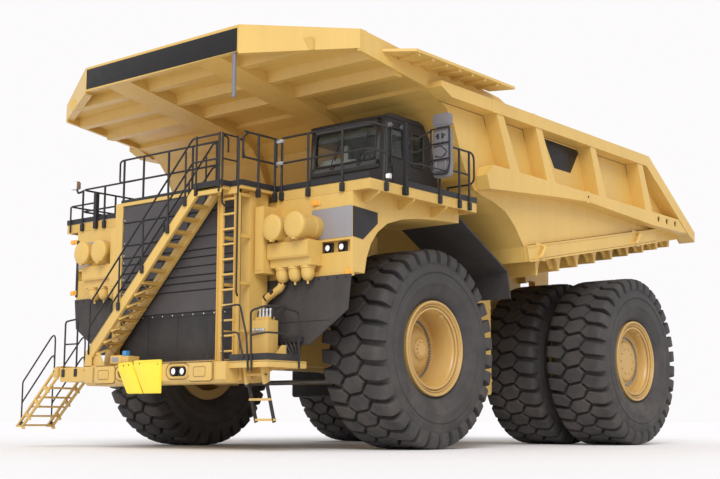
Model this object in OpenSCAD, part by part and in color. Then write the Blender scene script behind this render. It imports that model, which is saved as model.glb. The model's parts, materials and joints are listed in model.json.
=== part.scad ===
// Ultra-class rigid mining dump truck, an assembly of separate pieces, in millimetres.
// Front is -Y, +X is the truck's left, +Z is up, the origin is under the middle on the ground.

/* [Running gear] */
// Distance from the front axle to the rear axle
wheelbase = 7195; // [7000:5:7400]
// Tyre radius out to the tips of the lugs
tyre_r = 2000; // [1900:5:2050]
// Tyre width across the sidewalls
tyre_w = 1476; // [1400:2:1500]
// Front tyre centre from the middle of the truck
front_track_x = 3267; // [3200:1:3300]
// Outer rear tyre centre from the middle of the truck
rear_outer_x = 4020; // [3980:1:4060]
// Inner rear tyre centre from the middle of the truck
rear_inner_x = 2214; // [2190:1:2240]
// Tyre radius in the grooves between the lugs
groove_r = 1895; // [1880:5:1920]
// Lugs round each shoulder of a tyre
lugs = 32; // [28:1:36]
// Rim seat radius that carries the tyre bead
rim_seat_r = 810; // [800:1:820]
// Rim flange radius
flange_r = 954; // [930:1:970]
// Kingpin from the middle of the truck
kingpin_x = 2050; // [2000:5:2080]

/* [Frame] */
// Inner face of each frame rail
rail_in = 650; // [600:10:700]
// Outer face of each frame rail
rail_out = 1050; // [1000:10:1080]
// Bed pivot behind the front axle
pivot_y = 8550; // [8500:10:8600]
// Bed pivot above the ground
pivot_z = 3450; // [3400:10:3500]
// Bumper front behind the front axle, so negative
bumper_y = -4030; // [-4060:5:-4000]
// Bumper underside
bumper_z0 = 1260; // [1200:10:1300]
// Bumper top
bumper_z1 = 1650; // [1600:10:1700]

// Half width of the radiator grille
grille_x = 1770; // [1740:5:1800]

/* [Deck and cab] */
// Walking surface of the upper deck
deck_z = 4980; // [4900:10:5050]
// Half width of the upper deck
deck_x = 4450; // [4400:10:4500]
// Front edge of the upper deck
deck_y0 = -2800; // [-2850:10:-2750]
// Rear edge of the upper deck
deck_y1 = 700; // [600:10:720]
// Right face of the cab
cab_x0 = 1760; // [1740:10:2000]
// Left face of the cab
cab_x1 = 3720; // [3650:10:3750]
// Front face of the cab at its foot
cab_y0 = -1460; // [-1500:10:-1440]
// How far the front face of the cab leans back
cab_rake = 90; // [0:10:100]
// Top of the cab shell under its roof
cab_z1 = 6520; // [6450:10:6550]
// Thickness of the cab walls
cab_wall = 70; // [60:1:80]

/* [Bed] */
// Outer face of the bed's ribs and rails
bed_x = 4700; // [4650:10:4750]
// Inside half width of the bed
bed_in = 4256; // [4230:1:4280]
// Canopy front edge
canopy_y = -4085; // [-4100:5:-4060]
// Tail tip of the bed
tail_y = 10730; // [10700:10:10800]
// Top rail of the bed
bed_top = 7200; // [7100:10:7300]

/* [Hoists] */
// Hoist foot behind the front axle
hoist_y = 4900; // [4880:5:4920]
// Hoist foot above the ground
hoist_z = 1550; // [1530:5:1570]
// Hoist rod eye behind the front axle
eye_y = 3800; // [3790:5:3810]
// Hoist rod eye above the ground
eye_z = 3800; // [3790:5:3810]
// Hoist centre from the middle of the truck
hoist_x = 1275; // [1270:1:1280]

/* [Hidden] */
$fn = 64;
// Running gap left in every pivot and slide
gap = 0.3;
// Front axle in the part's frame, so that the box is centred on Y
y_fa = -(tail_y + canopy_y) / 2;
hub_z = tyre_r;
half_w = tyre_w / 2;
// Radius where the tyre's sidewall is widest
bulge_r = 1450;
// Front face of the rear axle's pinion housing
pinion_y = wheelbase - 895;
// Rear struts, behind the front axle
strut_y = wheelbase + 935;
hoist_tilt = atan2(eye_y - hoist_y, eye_z - hoist_z);
hoist_len = norm([eye_y - hoist_y, eye_z - hoist_z]);
cab_y1 = 400;
paint = [0.80, 0.61, 0.30];
dark = [0.09, 0.09, 0.10];
rubber = [0.07, 0.07, 0.07];
steel = [0.45, 0.46, 0.48];
glass = [0.35, 0.42, 0.40, 0.5];
lamp_white = [0.95, 0.95, 0.92];
amber = [0.95, 0.45, 0.08];
// Front wall of the bed, its outer face from the floor up to the canopy
wall_out = [[2780, 3990], [2690, 4310], [2330, 4720], [1950, 5000], [1500, 5140], [1050, 5215],
    [800, 5290], [560, 5510], [370, 5820], [230, 6180], [70, 6550], [-180, 6830], [-480, 6990], [-850, 7090]];
// The same wall's inner face, from the canopy down to the floor
wall_in = [[-850, 7300], [-420, 7200], [-10, 7000], [290, 6690], [470, 6260], [600, 5930], [760, 5660],
    [960, 5500], [1560, 5360], [2100, 5200], [2520, 4890], [2920, 4450], [2990, 4350]];
// Top of the bed's floor at a given distance behind the front axle
function floor_z(y) = 4350 + (y - 2990) * 0.1824;
// Top of the frame rails at a given distance behind the front axle
function rail_z(y) = 2950 + (y - 2800) * 900 / 6100;
// Lower edge of the canopy's rim, which falls to the rear
function canopy_z(y) = 7090 + (-850 - y) * 400 / 3235;
// Underside of the canopy's plate, which lies up inside the rim
function plate_z(y) = 7180 + (-850 - y) * 520 / 3065;
// Front face of the cab at a given height
function cab_front(z) = cab_y0 + cab_rake * (z - deck_z) / (cab_z1 - deck_z);
// Depth of the fins under the outer part of the floor
function fin_depth(y) = 650 - (y - 3250) * 0.025;

// Everything is measured from the front axle
module fa() { translate([0, y_fa, 0]) children(); }

// A block between two corners
module bx(x0, x1, y0, y1, z0, z1) { translate([x0, y0, z0]) cube([x1 - x0, y1 - y0, z1 - z0]); }

// A profile in Y and Z drawn out along X
module yz(x0, x1, p) {
    translate([x0, 0, 0]) rotate([90, 0, 90]) linear_extrude(x1 - x0) polygon(p);
}

// A profile in X and Z drawn out along Y
module xz(y0, y1, p) {
    translate([0, y1, 0]) rotate([90, 0, 0]) linear_extrude(y1 - y0) polygon(p);
}

// A profile in X and Y drawn up along Z
module xy(z0, z1, p) { translate([0, 0, z0]) linear_extrude(z1 - z0) polygon(p); }

// Both sides of the truck
module both() {
    children();
    mirror([1, 0, 0]) children();
}

// A round bar between two points
module bar(p, q, d) {
    v = q - p;
    translate(p) rotate([0, acos(v[2] / norm(v)), atan2(v[1], v[0])]) cylinder(h = norm(v), d = d);
}

// A cylinder along X between two X values
module xcyl(x0, x1, y, z, r) { translate([x0, y, z]) rotate([0, 90, 0]) cylinder(h = x1 - x0, r = r); }

// A cylinder along Y between two Y values
module ycyl(y0, y1, x, z, r) { translate([x, y0, z]) rotate([-90, 0, 0]) cylinder(h = y1 - y0, r = r); }

// A profile of [radius, X] turned about an axle that runs along X
module turned(x, y, p) {
    translate([x, y, hub_z]) rotate([0, 90, 0]) rotate_extrude($fn = 96) polygon(p);
}

// A straight run of handrail: posts, a top rail and a middle rail
module rail_run(p, q, z, n, h = 1060) {
    for (i = [0 : n - 1]) {
        s = p + (q - p) * i / (n - 1);
        translate([s[0], s[1], z]) cylinder(h = h, d = 50);
    }
    for (k = [h - 30, h * 0.52]) bar([p[0], p[1], z + k], [q[0], q[1], z + k], 40);
}

module main_frame() {
    color(paint) fa() both() {
        yz(rail_in, rail_out, [[-2850, 1300], [-2850, 2200], [-1200, 2500], [1500, 2500],
            [2800, rail_z(2800)], [8800, rail_z(8800)], [8990, 3640], [8990, 3250], [strut_y + 470, 2900],
            [strut_y - 530, 2900], [wheelbase - 595, 2640], [wheelbase - 1295, 2250], [wheelbase - 1945, 1350],
            [wheelbase - 2695, 1350], [wheelbase - 3595, 1600],
            [2000, 1700], [-1600, 1700], [-2300, 1300]]);
        bx(700, 1100, -450, 450, 2450, 4400);
        bx(800, 1000, -300, 300, 4400, deck_z - 60);
        xcyl(rail_in, 1300, pivot_y, pivot_z, 140);
        xcyl(rail_in, 1500, hoist_y, hoist_z, 110);
        bx(rail_out - 10, 1520, 3050, 3250, 2050, 2650);
    }
}

// What ties the two rails together, from the front beam to the tail
module cross_members() {
    color(paint) fa() {
        bx(-700, 700, -450, 450, 4000, 4400);
        bx(-rail_in, rail_in, -2850, -2650, 1300, 1900);
        xcyl(-rail_in, rail_in, 2750, 2400, 190);
        bx(-rail_in, rail_in, 4800, 5050, 2150, 2500);
        both() bx(200, 350, 4850, 5000, 1780, 2160);
        difference() {
            bx(-rail_in, rail_in, 8600, 8900, 3250, 3620);
            translate([0, 8760, 3200]) cylinder(h = 500, r = 60);
        }
    }
}

module front_bumper() {
    color(paint) fa() {
        difference() {
            union() {
                yz(-2050, 2050, [[bumper_y, bumper_z0 + 60], [bumper_y, bumper_z1 - 30], [bumper_y + 30, bumper_z1],
                    [-2850, bumper_z1], [-2850, 1300], [-3300, bumper_z0], [bumper_y + 80, bumper_z0]]);
                bx(-2960, -2049, -3960, -3240, 1360, bumper_z1);
                ycyl(-3960, -3240, -3050, 1580, 110);
                bx(-3050, -2959, -3960, -3240, 1470, 1690);
            }
            both() translate([1550, -3900, 1200]) cylinder(h = 600, r = 60);
            ycyl(-3970, -3850, -3050, 1580, 40 + gap);
            ycyl(-3350, -3230, -3050, 1580, 40 + gap);
            both() translate([760, bumper_y - 1, 1490]) rotate([-90, 0, 0]) {
                translate([-150, 0, 0]) cylinder(h = 61, r = 95);
                translate([150, 0, 0]) cylinder(h = 61, r = 95);
                translate([-150, -95, 0]) cube([300, 190, 61]);
            }
        }
    }
}

module wheel_chocks() {
    color([0.93, 0.80, 0.10]) fa() {
        xz(bumper_y - 50, bumper_y, [[-650, 1080], [-220, 1080], [-560, 1700], [-980, 1680], [-960, 1600]]);
        xz(bumper_y - 50, bumper_y, [[-180, 1080], [310, 1080], [310, 1720], [-500, 1720], [-500, 1620]]);
    }
}

module radiator_frame() {
    color(paint) fa() {
        bx(-grille_x - 230, -grille_x, -3400, -2900, bumper_z1, 5110);
        bx(grille_x, 1805, -3400, -2900, bumper_z1, 5110);
        bx(1804, grille_x + 230, -3400, -2900, bumper_z1, deck_z - 65);
        bx(-grille_x - 1, grille_x + 1, -3400, -2900, 5040, 5110);
        bx(-grille_x - 1, grille_x + 1, -3400, -2900, bumper_z1, 1720);
    }
}

module radiator_grille() {
    color(dark) fa() {
        difference() {
            bx(-grille_x, grille_x, -3370, -3000, 1720, 5040);
            for (z = [2680, 3110, 3270, 3410, 3590, 3770, 3920, 4180, 4670]) {
                bx(-grille_x - 60, grille_x + 60, -3380, -3345, z - 12, z + 12);
            }
            for (x = [-grille_x / 2, 0, grille_x / 2]) bx(x - 10, x + 10, -3380, -3345, 1700, 2680);
        }
    }
}

module engine_block() {
    color(steel) fa() {
        bx(-520, 520, -2600, 1700, 1950, 3700);
        for (y = [-1800, 900]) bx(-rail_in, rail_in, y, y + 300, 2000, 2200);
    }
}

module driveline() {
    color(steel) fa() {
        ycyl(1700, 2250, 0, 1960, 300);
        ycyl(2240, pinion_y, 0, 1960, 110);
        ycyl(pinion_y - 300, pinion_y, 0, 1960, 170);
    }
}

module rear_axle() {
    color(paint) fa() {
        turned(0, wheelbase, [[0, -4150], [420, -4150], [420, -1580], [560, -1500], [560, -1100], [500, -950],
            [690, -420], [690, 420], [500, 950], [560, 1100], [560, 1500], [420, 1580], [420, 4150], [0, 4150]]);
        ycyl(pinion_y, pinion_y + 700, 0, 1960, 320);
        xy(1600, 1780, [[-360, 4850], [360, 4850], [480, wheelbase - 295], [-480, wheelbase - 295]]);
        both() bx(700, 1000, wheelbase + 305, strut_y + 220, 1800, 2000);
    }
}

module rear_struts() {
    color(steel) fa() both() {
        translate([850, strut_y, 2000]) cylinder(h = 420, r = 130);
        translate([850, strut_y, 2400]) cylinder(h = 500, r = 185);
    }
}

module front_struts() {
    color(paint) fa() both() {
        translate([kingpin_x, 0, 2760]) cylinder(h = 1640, r = 290);
        translate([kingpin_x, 0, 1380]) cylinder(h = 1400, r = 200);
        translate([kingpin_x, 0, 1360]) cylinder(h = 100, r = 290);
        bx(1100, 1900, -380, 380, 2900, 3400);
        bx(1100, 1900, -380, 380, 3900, 4400);
    }
}

module side_tank() {
    yz(1520, 2750, [[3050, 1150], [3700, 1150], [3750, 1200], [3750, 3370], [3700, 3420], [3050, 3420],
        [3000, 3370], [3000, 1200]]);
}

module hydraulic_tank() {
    color(paint) fa() side_tank();
}

module fuel_tank() {
    color(paint) fa() mirror([1, 0, 0]) side_tank();
}

module upper_deck() {
    color(paint) fa() {
        xy(deck_z - 60, deck_z, [[-deck_x, deck_y0], [1810, deck_y0], [1810, -3750], [2120, -3750],
            [2120, deck_y0], [deck_x, deck_y0], [deck_x, deck_y1], [-deck_x, deck_y1]]);
        both() {
            bx(deck_x - 60, deck_x, deck_y0, deck_y1, deck_z - 200, deck_z - 59);
            bx(2120, deck_x - 59, deck_y0, deck_y0 + 60, deck_z - 200, deck_z - 59);
            for (y = [-1500, -200]) bx(1200, 3980, y, y + 120, deck_z - 160, deck_z - 59);
        }
        bx(-deck_x + 59, deck_x - 59, deck_y1 - 60, deck_y1, deck_z - 200, deck_z - 59);
    }
}

// Side of the front fender: the lamp box in front and the arch over the tyre
fender_arch = [[-2440, 3270], [-2380, 3560], [-2250, 3850], [-2050, 4090], [-1750, 4290], [-1300, 4430],
    [-800, 4510], [-100, 4565], [630, 4600]];

module front_fenders() {
    color(paint) fa() both() {
        yz(3990, 4050, concat([[deck_y0 + 1, 3270]], fender_arch, [[630, deck_z - 60], [deck_y0 + 60, deck_z - 60],
            [deck_y0 + 60, deck_z - 200], [deck_y0 + 1, deck_z - 200]]));
        yz(2500, 3991, concat(fender_arch, [for (i = [8 : -1 : 0]) fender_arch[i] + [-25, 40]]));
        difference() {
            bx(1800, 4050, deck_y0, deck_y0 + 60, 3200, deck_z - 200);
            bx(3110, 3990, deck_y0 - 1, deck_y0 + 61, 3660, 3880);
        }
        for (z = [3640, 3880]) bx(3109, 3991, deck_y0 + 59, -2620, z, z + 20);
        bx(3109, 3991, -2640, -2620, 3640, 3900);
        bx(3050, 3110, deck_y0 + 59, -2500, 3270, deck_z - 200);
        bx(3050, 4049, deck_y0 + 59, -2440, 3270, 3330);
    }
}

module air_cleaners() {
    color(paint) fa() both() {
        for (x = [2560, 3130]) {
            ycyl(-3370, deck_y0, x, 4165, 228);
            ycyl(-3400, -3330, x, 4165, 245);
        }
        yz(2290, 3320, [[-3200, 3580], [-3220, 3620], [-3220, 3880], [-3200, 3900], [deck_y0, 3900],
            [deck_y0, 3430], [-3120, 3430], [-3140, 3580]]);
        for (x = [2490, 2810, 3130]) translate([x, -2990, 3190]) cylinder(h = 241, r1 = 70, r2 = 125);
        bx(2500, 3190, -3150, deck_y0, 3890, 4000);
        bx(2040, 2270, -3300, deck_y0, 3330, 4620);
    }
}

module head_lamps() {
    color(lamp_white) fa() {
        both() for (x = [3380, 3740]) ycyl(-2730, -2640, x, 3770, 85);
        both() for (x = [640, 880]) ycyl(bumper_y + 10, bumper_y + 60, x, 1490, 80);
    }
}

module marker_lamps() {
    color(amber) fa() both() {
        bx(3110, 3250, deck_y0 - 60, deck_y0, 4600, 4690);
        bx(3060, 3160, deck_y0 - 50, deck_y0, 3240, 3310);
        bx(3930, 4030, deck_y0 - 50, deck_y0, 3240, 3310);
    }
}

module cab_hinge(z) {
    translate([3745, -670, z]) cylinder(h = 80, r = 22);
}

module cab_shell() {
    color(dark) fa() {
        difference() {
            yz(cab_x0, cab_x1, [[cab_y0, deck_z], [cab_y1, deck_z], [390, 5200], [330, 5550], [220, 5900],
                [90, 6240], [-20, 6420], [-120, cab_z1], [cab_y0 + cab_rake, cab_z1]]);
            yz(cab_x0 + cab_wall, cab_x1 - cab_wall, [[cab_y0 + cab_wall, deck_z + 70], [325, deck_z + 70],
                [318, 5200], [260, 5540], [150, 5880], [25, 6205], [-80, 6370], [-205, cab_z1 + 1],
                [cab_y0 + cab_rake + cab_wall, cab_z1 + 1]]);
            bx(cab_x0 + 130, 3480, cab_y0 - 1, cab_y0 + cab_rake + cab_wall + 1, 5700, 6400);
            bx(cab_x1 - cab_wall - 1, cab_x1 + 1, -1320, -680, 5040, 6440);
            bx(cab_x1 - cab_wall - 1, cab_x1 + 1, -560, -150, 5650, 6330);
            bx(cab_x0 - 1, cab_x0 + cab_wall + 1, -1250, -200, 5700, 6400);
        }
        for (z = [5420, 6120]) {
            translate([0, 0, gap]) cab_hinge(z);
            bx(cab_x1 - 1, 3745, -660, -620, z + gap, z + 80 + gap);
            bx(3735, 3755, -672, -620, z + gap, z + 80 + gap);
        }
    }
}

module cab_roof() {
    color(dark) fa() yz(cab_x0 - 20, cab_x1 + 20, [[-1390, cab_z1], [-120, cab_z1], [-190, 6570],
        [-320, 6610], [-1200, 6620], [-1330, 6590], [-1390, 6550]]);
}

module cab_glass() {
    color(glass) fa() {
        yz(cab_x0 + 130, 3480, [[cab_front(5700) + 25, 5700], [cab_front(5700) + 45, 5700],
            [cab_front(6400) + 45, 6400], [cab_front(6400) + 25, 6400]]);
        bx(cab_x1 - 45, cab_x1 - 25, -560, -150, 5650, 6330);
        bx(cab_x0 + 25, cab_x0 + 45, -1250, -200, 5700, 6400);
    }
}

module cab_interior() {
    color([0.62, 0.66, 0.64]) fa() {
        for (x = [3050, 2350]) {
            bx(x - 150, x + 150, -700, -350, deck_z + 70, 5400);
            bx(x - 260, x + 260, -800, -250, 5390, 5530);
            yz(x - 250, x + 250, [[-330, 5520], [-220, 5520], [-80, 6150], [-180, 6170]]);
        }
        bx(1900, 3600, -1330, -1130, 5350, 5660);
        bx(2500, 2700, -1330, -1200, deck_z + 70, 5360);
        bx(3100, 3300, -1330, -1200, deck_z + 70, 5360);
        bar([3050, -1150, 5560], [3050, -980, 5740], 60);
        translate([3050, -985, 5735]) rotate([45, 0, 0]) {
            rotate_extrude() translate([212, 18]) circle(r = 17);
            for (a = [90, 210, 330]) rotate([0, 0, a]) translate([0, 0, 18]) bar([0, 0, 0], [212, 0, 0], 24);
        }
    }
}

module handrails() {
    e = deck_x - 40;
    color(dark) fa() {
        rail_run([2200, deck_y0 + 40], [4330, deck_y0 + 40], deck_z, 4);
        rail_run([e, deck_y0 + 40], [e, -2280], deck_z, 2);
        rail_run([e, -1000], [e, 90], deck_z, 3);
        rail_run([4330, 90], [3800, 90], deck_z, 2);
        rail_run([-2200, deck_y0 + 40], [-4330, deck_y0 + 40], deck_z, 4);
        rail_run([-e, deck_y0 + 40], [-e, 90], deck_z, 5);
        rail_run([-4330, 90], [-2900, 90], deck_z, 3);
        rail_run([2080, -3700], [2080, -2900], deck_z, 3);
    }
}

// Foot and head of the diagonal stair
stair_a = [-1950, 1900];
stair_b = [1080, deck_z - 30];

module diagonal_stair() {
    n = 13;
    color(paint) fa() {
        for (y = [-4000, -3500]) {
            xz(y, y + 60, [[-2130, bumper_z1], [-1880, bumper_z1], stair_a + [60, -80], [1180, stair_b[1] - 60],
                [1180, deck_z], [1010, deck_z], stair_a + [-130, 60]]);
        }
        for (i = [1 : n]) {
            s = stair_a + (stair_b - stair_a) * i / (n + 1);
            bx(s[0] - 130, s[0] + 110, -3941, -3499, s[1] - 20, s[1] + 20);
        }
        bx(1060, 1800, -4000, -3400, deck_z - 60, deck_z);
    }
}

// Rails bracketed to the outer faces of the strings and of the landing
module stair_rails() {
    color(dark) fa() {
        for (y = [-4021, -3420]) {
            for (h = [560, 1040]) {
                bar([stair_a[0], y, stair_a[1] + h], [stair_b[0], y, stair_b[1] + h], 34);
            }
            for (t = [0.02, 0.30, 0.53, 0.77, 0.97]) {
                s = stair_a + (stair_b - stair_a) * t;
                translate([s[0], y, s[1] - 60]) cylinder(h = 1110, d = 34);
                bx(s[0] - 40, s[0] + 40, y - 17, y < -3500 ? -4000 : -3403, s[1] - 60, s[1] + 60);
                if (y > -3500) bx(s[0] - 40, s[0] + 40, -3440, y, s[1] - 60, s[1] + 60);
            }
        }
        rail_run([1200, -4024], [1760, -4024], deck_z, 2);
        for (x = [1200, 1760]) bx(x - 40, x + 40, -4048, -4000, deck_z - 60, deck_z + 60);
        rail_run([1828, -3960], [1828, -3600], deck_z, 2);
        bx(1800, 1852, -3990, -3930, deck_z - 60, deck_z + 60);
    }
}

module centre_ladder() {
    color(paint) fa() {
        for (x = [1540, 1985]) {
            difference() {
                bx(x - 65, x + 65, -3740, -3660, bumper_z1, deck_z - 60);
                bx(x - 53, x + 53, -3741, -3672, bumper_z1 + 40, deck_z - 100);
            }
        }
        for (z = [1850 : 290 : 4760]) bar([1600, -3700, z], [1925, -3700, z], 36);
    }
}

module lower_platform() {
    color(paint) fa() {
        bx(2050, 3030, -3950, -2900, 1540, bumper_z1);
        xz(-3700, -3100, [[2050, 1300], [2120, 1300], [2120, 1400], [2500, 1545], [2050, 1545]]);
        for (x = [2230, 2690]) yz(x - 22, x + 22, [[-3730, 1545], [-3640, 1545], [-3360, 530], [-3440, 530]]);
        for (h = [0.15, 0.55, 0.92]) bar([2230, -3685 + 285 * h, 1545 - 1015 * h],
            [2690, -3685 + 285 * h, 1545 - 1015 * h], 46);
        rail_run([2100, -3900], [2980, -3900], bumper_z1, 3, 1000);
        rail_run([2980, -3400], [2980, -2950], bumper_z1, 2, 1000);
    }
}

module mirrors() {
    color([0.42, 0.43, 0.45]) fa() {
        difference() {
            bx(4440, 4850, -800, -700, 5270, 6550);
            bx(4420, 4870, -810, -770, 6250, 6280);
        }
        bx(deck_x, deck_x + 70, -1800, -1720, deck_z - 190, deck_z - 40);
        bx(deck_x + 2, deck_x + 78, -1800, -1720, deck_z - 100, 5960);
        for (z = [5560, 5900]) bar([deck_x + 40, -1760, z], [4600, -760, z + 320], 36);
    }
}

module mud_flaps() {
    color(rubber) fa() both() {
        xz(deck_y0 - 40, deck_y0, [[1850, 3235], [4040, 3235], [3960, 2580], [3030, 1965],
            [2045, 1990], [1850, 2350]]);
        yz(2400, 4000, [[660, deck_z - 200], [700, deck_z - 200], [2560, 3790], [2670, 3200], [2630, 3200],
            [2515, 3770], [660, deck_z - 240]]);
    }
}

module cab_door() {
    color(dark) fa() {
        difference() {
            bx(cab_x1 - cab_wall, cab_x1, -1308, -685, 5046, 6434);
            bx(cab_x1 - cab_wall - 1, cab_x1 + 1, -1220, -780, 5750, 6340);
        }
        for (z = [5340, 6040]) {
            cab_hinge(z);
            bx(cab_x1 - 1, 3745, -730, -690, z, z + 80);
            bx(3735, 3755, -730, -668, z, z + 80);
        }
        bar([cab_x1 + 40, -1250, 5500], [cab_x1 + 40, -1250, 5720], 24);
        for (z = [5510, 5710]) bar([cab_x1 - 5, -1250, z], [cab_x1 + 40, -1250, z], 20);
    }
}

module door_glass() {
    color(glass) fa() bx(cab_x1 - 45, cab_x1 - 25, -1220, -780, 5750, 6340);
}

module boarding_ladder() {
    foot = [-4240, 420];
    color(paint) fa() {
        for (y = [-4015, -3235]) {
            difference() {
                xz(y, y + 50, [[-3120, 1490], [-3120, 1670], [-2980, 1670], [-2980, 1450], [-4140, 420],
                    [-4380, 420]]);
                for (t = [0.16, 0.36, 0.56, 0.76]) translate([-3080 - 1180 * t, y - 1, 1540 - 1075 * t])
                    rotate([0, -42.5, 0]) cube([170, 52, 70], center = false);
            }
            for (t = [0.06, 0.94]) {
                s = [-3060, 1560] + (foot - [-3060, 1560]) * t;
                translate([s[0], y + 25, s[1] - 20]) cylinder(h = 950, d = 40);
            }
            for (h = [480, 900]) bar([-3060, y + 25, 1560 + h], [foot[0], y + 25, foot[1] + h], 34);
        }
        ycyl(-3970, -3860, -3050, 1580, 40);
        ycyl(-3340, -3230, -3050, 1580, 40);
        for (i = [1 : 5]) {
            s = [-3160, 1440] + (foot - [-3160, 1440]) * i / 5.2;
            bx(s[0] - 130, s[0] + 90, -3970, -3230, s[1] - 15, s[1] + 20);
        }
    }
}

module bed_floor() {
    color(paint) fa() {
        yz(-bed_in, bed_in, [[2990, floor_z(2990)], [10560, floor_z(10560)], [10600, floor_z(10560) - 110],
            [10600, floor_z(10600) - 330], [10450, floor_z(10450) - 330], [10450, floor_z(10450) - 130],
            [3040, floor_z(3040) - 130], [3040, floor_z(3040) - 330], [2780, 3990]]);
        for (y = [3250, 4200, 5050, 5900, 6750, 7600, 8450, 9250, 9950]) {
            yz(-bed_in, bed_in, [[y, floor_z(y) - 129], [y + 160, floor_z(y + 160) - 129],
                [y + 130, floor_z(y + 130) - 480], [y + 30, floor_z(y + 30) - 480]]);
            both() yz(1700, bed_in, [[y + 10, floor_z(y) - 140], [y + 150, floor_z(y) - 140],
                [y + 115, floor_z(y) - fin_depth(y)], [y + 45, floor_z(y) - fin_depth(y)]]);
        }
        both() difference() {
            yz(4090, 4130, [[3300, floor_z(3300) - 129], [9980, floor_z(9980) - 129],
                [9980, floor_z(9980) - 480], [3300, floor_z(3300) - 600]]);
            for (y = [3810, 4705, 5555, 6405, 7255, 8105, 8930, 9680]) xcyl(4080, 4140, y, floor_z(y) - 590, 290);
        }
    }
}

module bed_underframe() {
    color(paint) fa() both() {
        difference() {
            yz(rail_in, rail_out, [[3420, floor_z(3420) - 130 - gap], [4190, floor_z(4190) - 130 - gap],
                [4190, floor_z(4190) - 480 - gap], [7800, floor_z(7800) - 480 - gap], [7800, rail_z(7800) + gap],
                [3420, rail_z(3420) + gap]]);
        }
        difference() {
            union() {
                yz(1070, 1270, [[8270, pivot_z], [8100, floor_z(8100) - 480 - gap],
                    [8900, floor_z(8900) - 480 - gap], [8830, pivot_z]]);
                xcyl(1070, 1270, pivot_y, pivot_z, 290);
                bx(rail_in, 1271, 7700, 7800, 4180, floor_z(7700) - 481);
                bx(1070, 1270, 7750, 8300, 4250, floor_z(7750) - 481);
            }
            xcyl(1000, 1300, pivot_y, pivot_z, 140 + gap);
        }
        for (x = [1090, 1400]) {
            yz(x, x + 60, [[3550, floor_z(3550) - 130 - gap], [4100, floor_z(4100) - 130 - gap], [3960, 3640],
                [3640, 3640]]);
        }
        bx(rail_out - 1, 1460, 3420, 3560, 4200, floor_z(3420) - 130 - gap);
    }
}

module bed_side(s) {
    foot = [for (y = [2810, 10560]) [y, floor_z(y) - 330]];
    color(paint) fa() scale([s, 1, 1]) {
        yz(bed_in, bed_in + 80, concat([[2780, 3990]], [foot[1]], [[tail_y - 30, 5290], [tail_y, 5550],
            [8140, bed_top], [-850, bed_top]], [for (i = [13 : -1 : 1]) wall_out[i]]));
        yz(bed_in + 79, bed_x, [[-500, 6930], [8000, 6930], [10300, 5480], [tail_y - 30, 5290], [tail_y, 5550],
            [8140, bed_top], [-850, bed_top], [-850, 7090]]);
        difference() {
            yz(bed_in + 79, bed_x - 20, [[860, 5285], [760, 5560], [1000, 5810], [4990, 5810], [10250, 5790],
                [10330, 5480], [8300, 5460], [4990, 5590], [3550, 5500]]);
            for (y = [8640, 9110, 9600]) xcyl(bed_x - 60, bed_x, y, 5650, 80);
        }
        for (r = [[1270, 1900], [2820, 3400], [5250, 5750], [7670, 8150]]) {
            yz(bed_in + 79, bed_x - 20, [[r[0] - 130, 6950], [r[1] - 190, 5650], [r[1] + 190, 5650],
                [r[0] + 130, 6950]]);
        }
        yz(bed_in + 79, bed_in + 160, [[2790, 4000], [2700, floor_z(2700) + 20], [9000, floor_z(9000) + 20],
            [9000, floor_z(9000) - 330]]);
    }
}

module bed_side_left() { bed_side(1); }

module bed_side_right() { bed_side(-1); }

module bed_front_wall() {
    color(paint) fa() {
        yz(-bed_in, bed_in, concat(wall_out, wall_in));
        both() yz(1000, 1700, concat([for (i = [7 : 13]) wall_out[i] + [15, 15]], [[-850, 6950], [-560, 6850],
            [-310, 6690], [-110, 6440], [60, 6110], [200, 5760], [420, 5540]]));
    }
}

// Half outline of the canopy seen from above
canopy_half = [[0, canopy_y], [2310, canopy_y], [4390, -2985], [4390, -850], [0, -850]];

module bed_canopy() {
    color(paint) fa() {
        yz(-2300, 2300, [[canopy_y, canopy_z(canopy_y)], [canopy_y, 8010], [canopy_y + 160, 8010],
            [canopy_y + 200, plate_z(canopy_y + 200) + 130], [-850, 7300], [-850, plate_z(-850)],
            [canopy_y + 170, plate_z(canopy_y + 170)], [canopy_y + 120, canopy_z(canopy_y)]]);
        intersection() {
            yz(-4400, 4400, [[canopy_y + 120, plate_z(canopy_y + 120)], [canopy_y + 120, plate_z(canopy_y + 120) + 70],
                [-850, plate_z(-850) + 70], [-850, plate_z(-850)]]);
            both() xy(7000, 8100, canopy_half);
        }
        both() {
            intersection() {
                xy(7000, 8100, [[2290, canopy_y], [2310, canopy_y], [4390, -2985], [4390, -2800], [2290, -3900]]);
                xz(-4200, -2700, [[2290, 7440], [2290, 8010], [2310, 8010], [4390, 7770], [4390, 7400]]);
            }
            yz(4310, 4390, [[-2990, canopy_z(-2990)], [-2990, 7770], [-2300, 7720], [-850, 7600], [-850, 7090]]);
            yz(4310, 4390, [[-851, 7090], [-851, 7600], [1700, 7430], [2400, bed_top], [-851, bed_top]]);
            for (y = [-3350, -2550, -1750]) {
                e = 4320 - max(0, -2985 - y) * 1.9;
                for (x = [[-1, 1001], [1699, e]]) {
                    yz(x[0], x[1], [[y - 150, plate_z(y - 150) + 20], [y - 95, plate_z(y) - 190],
                        [y + 95, plate_z(y) - 190], [y + 150, plate_z(y + 150) + 20]]);
                }
            }
            yz(1000, 1700, [[canopy_y + 110, 7720], [-850, 7200], [-850, 6950], [canopy_y + 110, 7500]]);
        }
    }
}

module canopy_wings() {
    color(paint) fa() both() {
        xy(7480, 7540, [[4390, -2350], [4920, -1950], [4920, 1510], [4390, 1300]]);
        for (y = [-1850 : 450 : 900]) bx(4390, 4880, y, y + 80, 7430, 7481);
    }
}

// A hoist piece stands on its foot and leans towards its eye
module hoist_frame(s) {
    fa() translate([s * hoist_x, hoist_y, hoist_z]) rotate([-hoist_tilt, 0, 0]) children();
}

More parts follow.
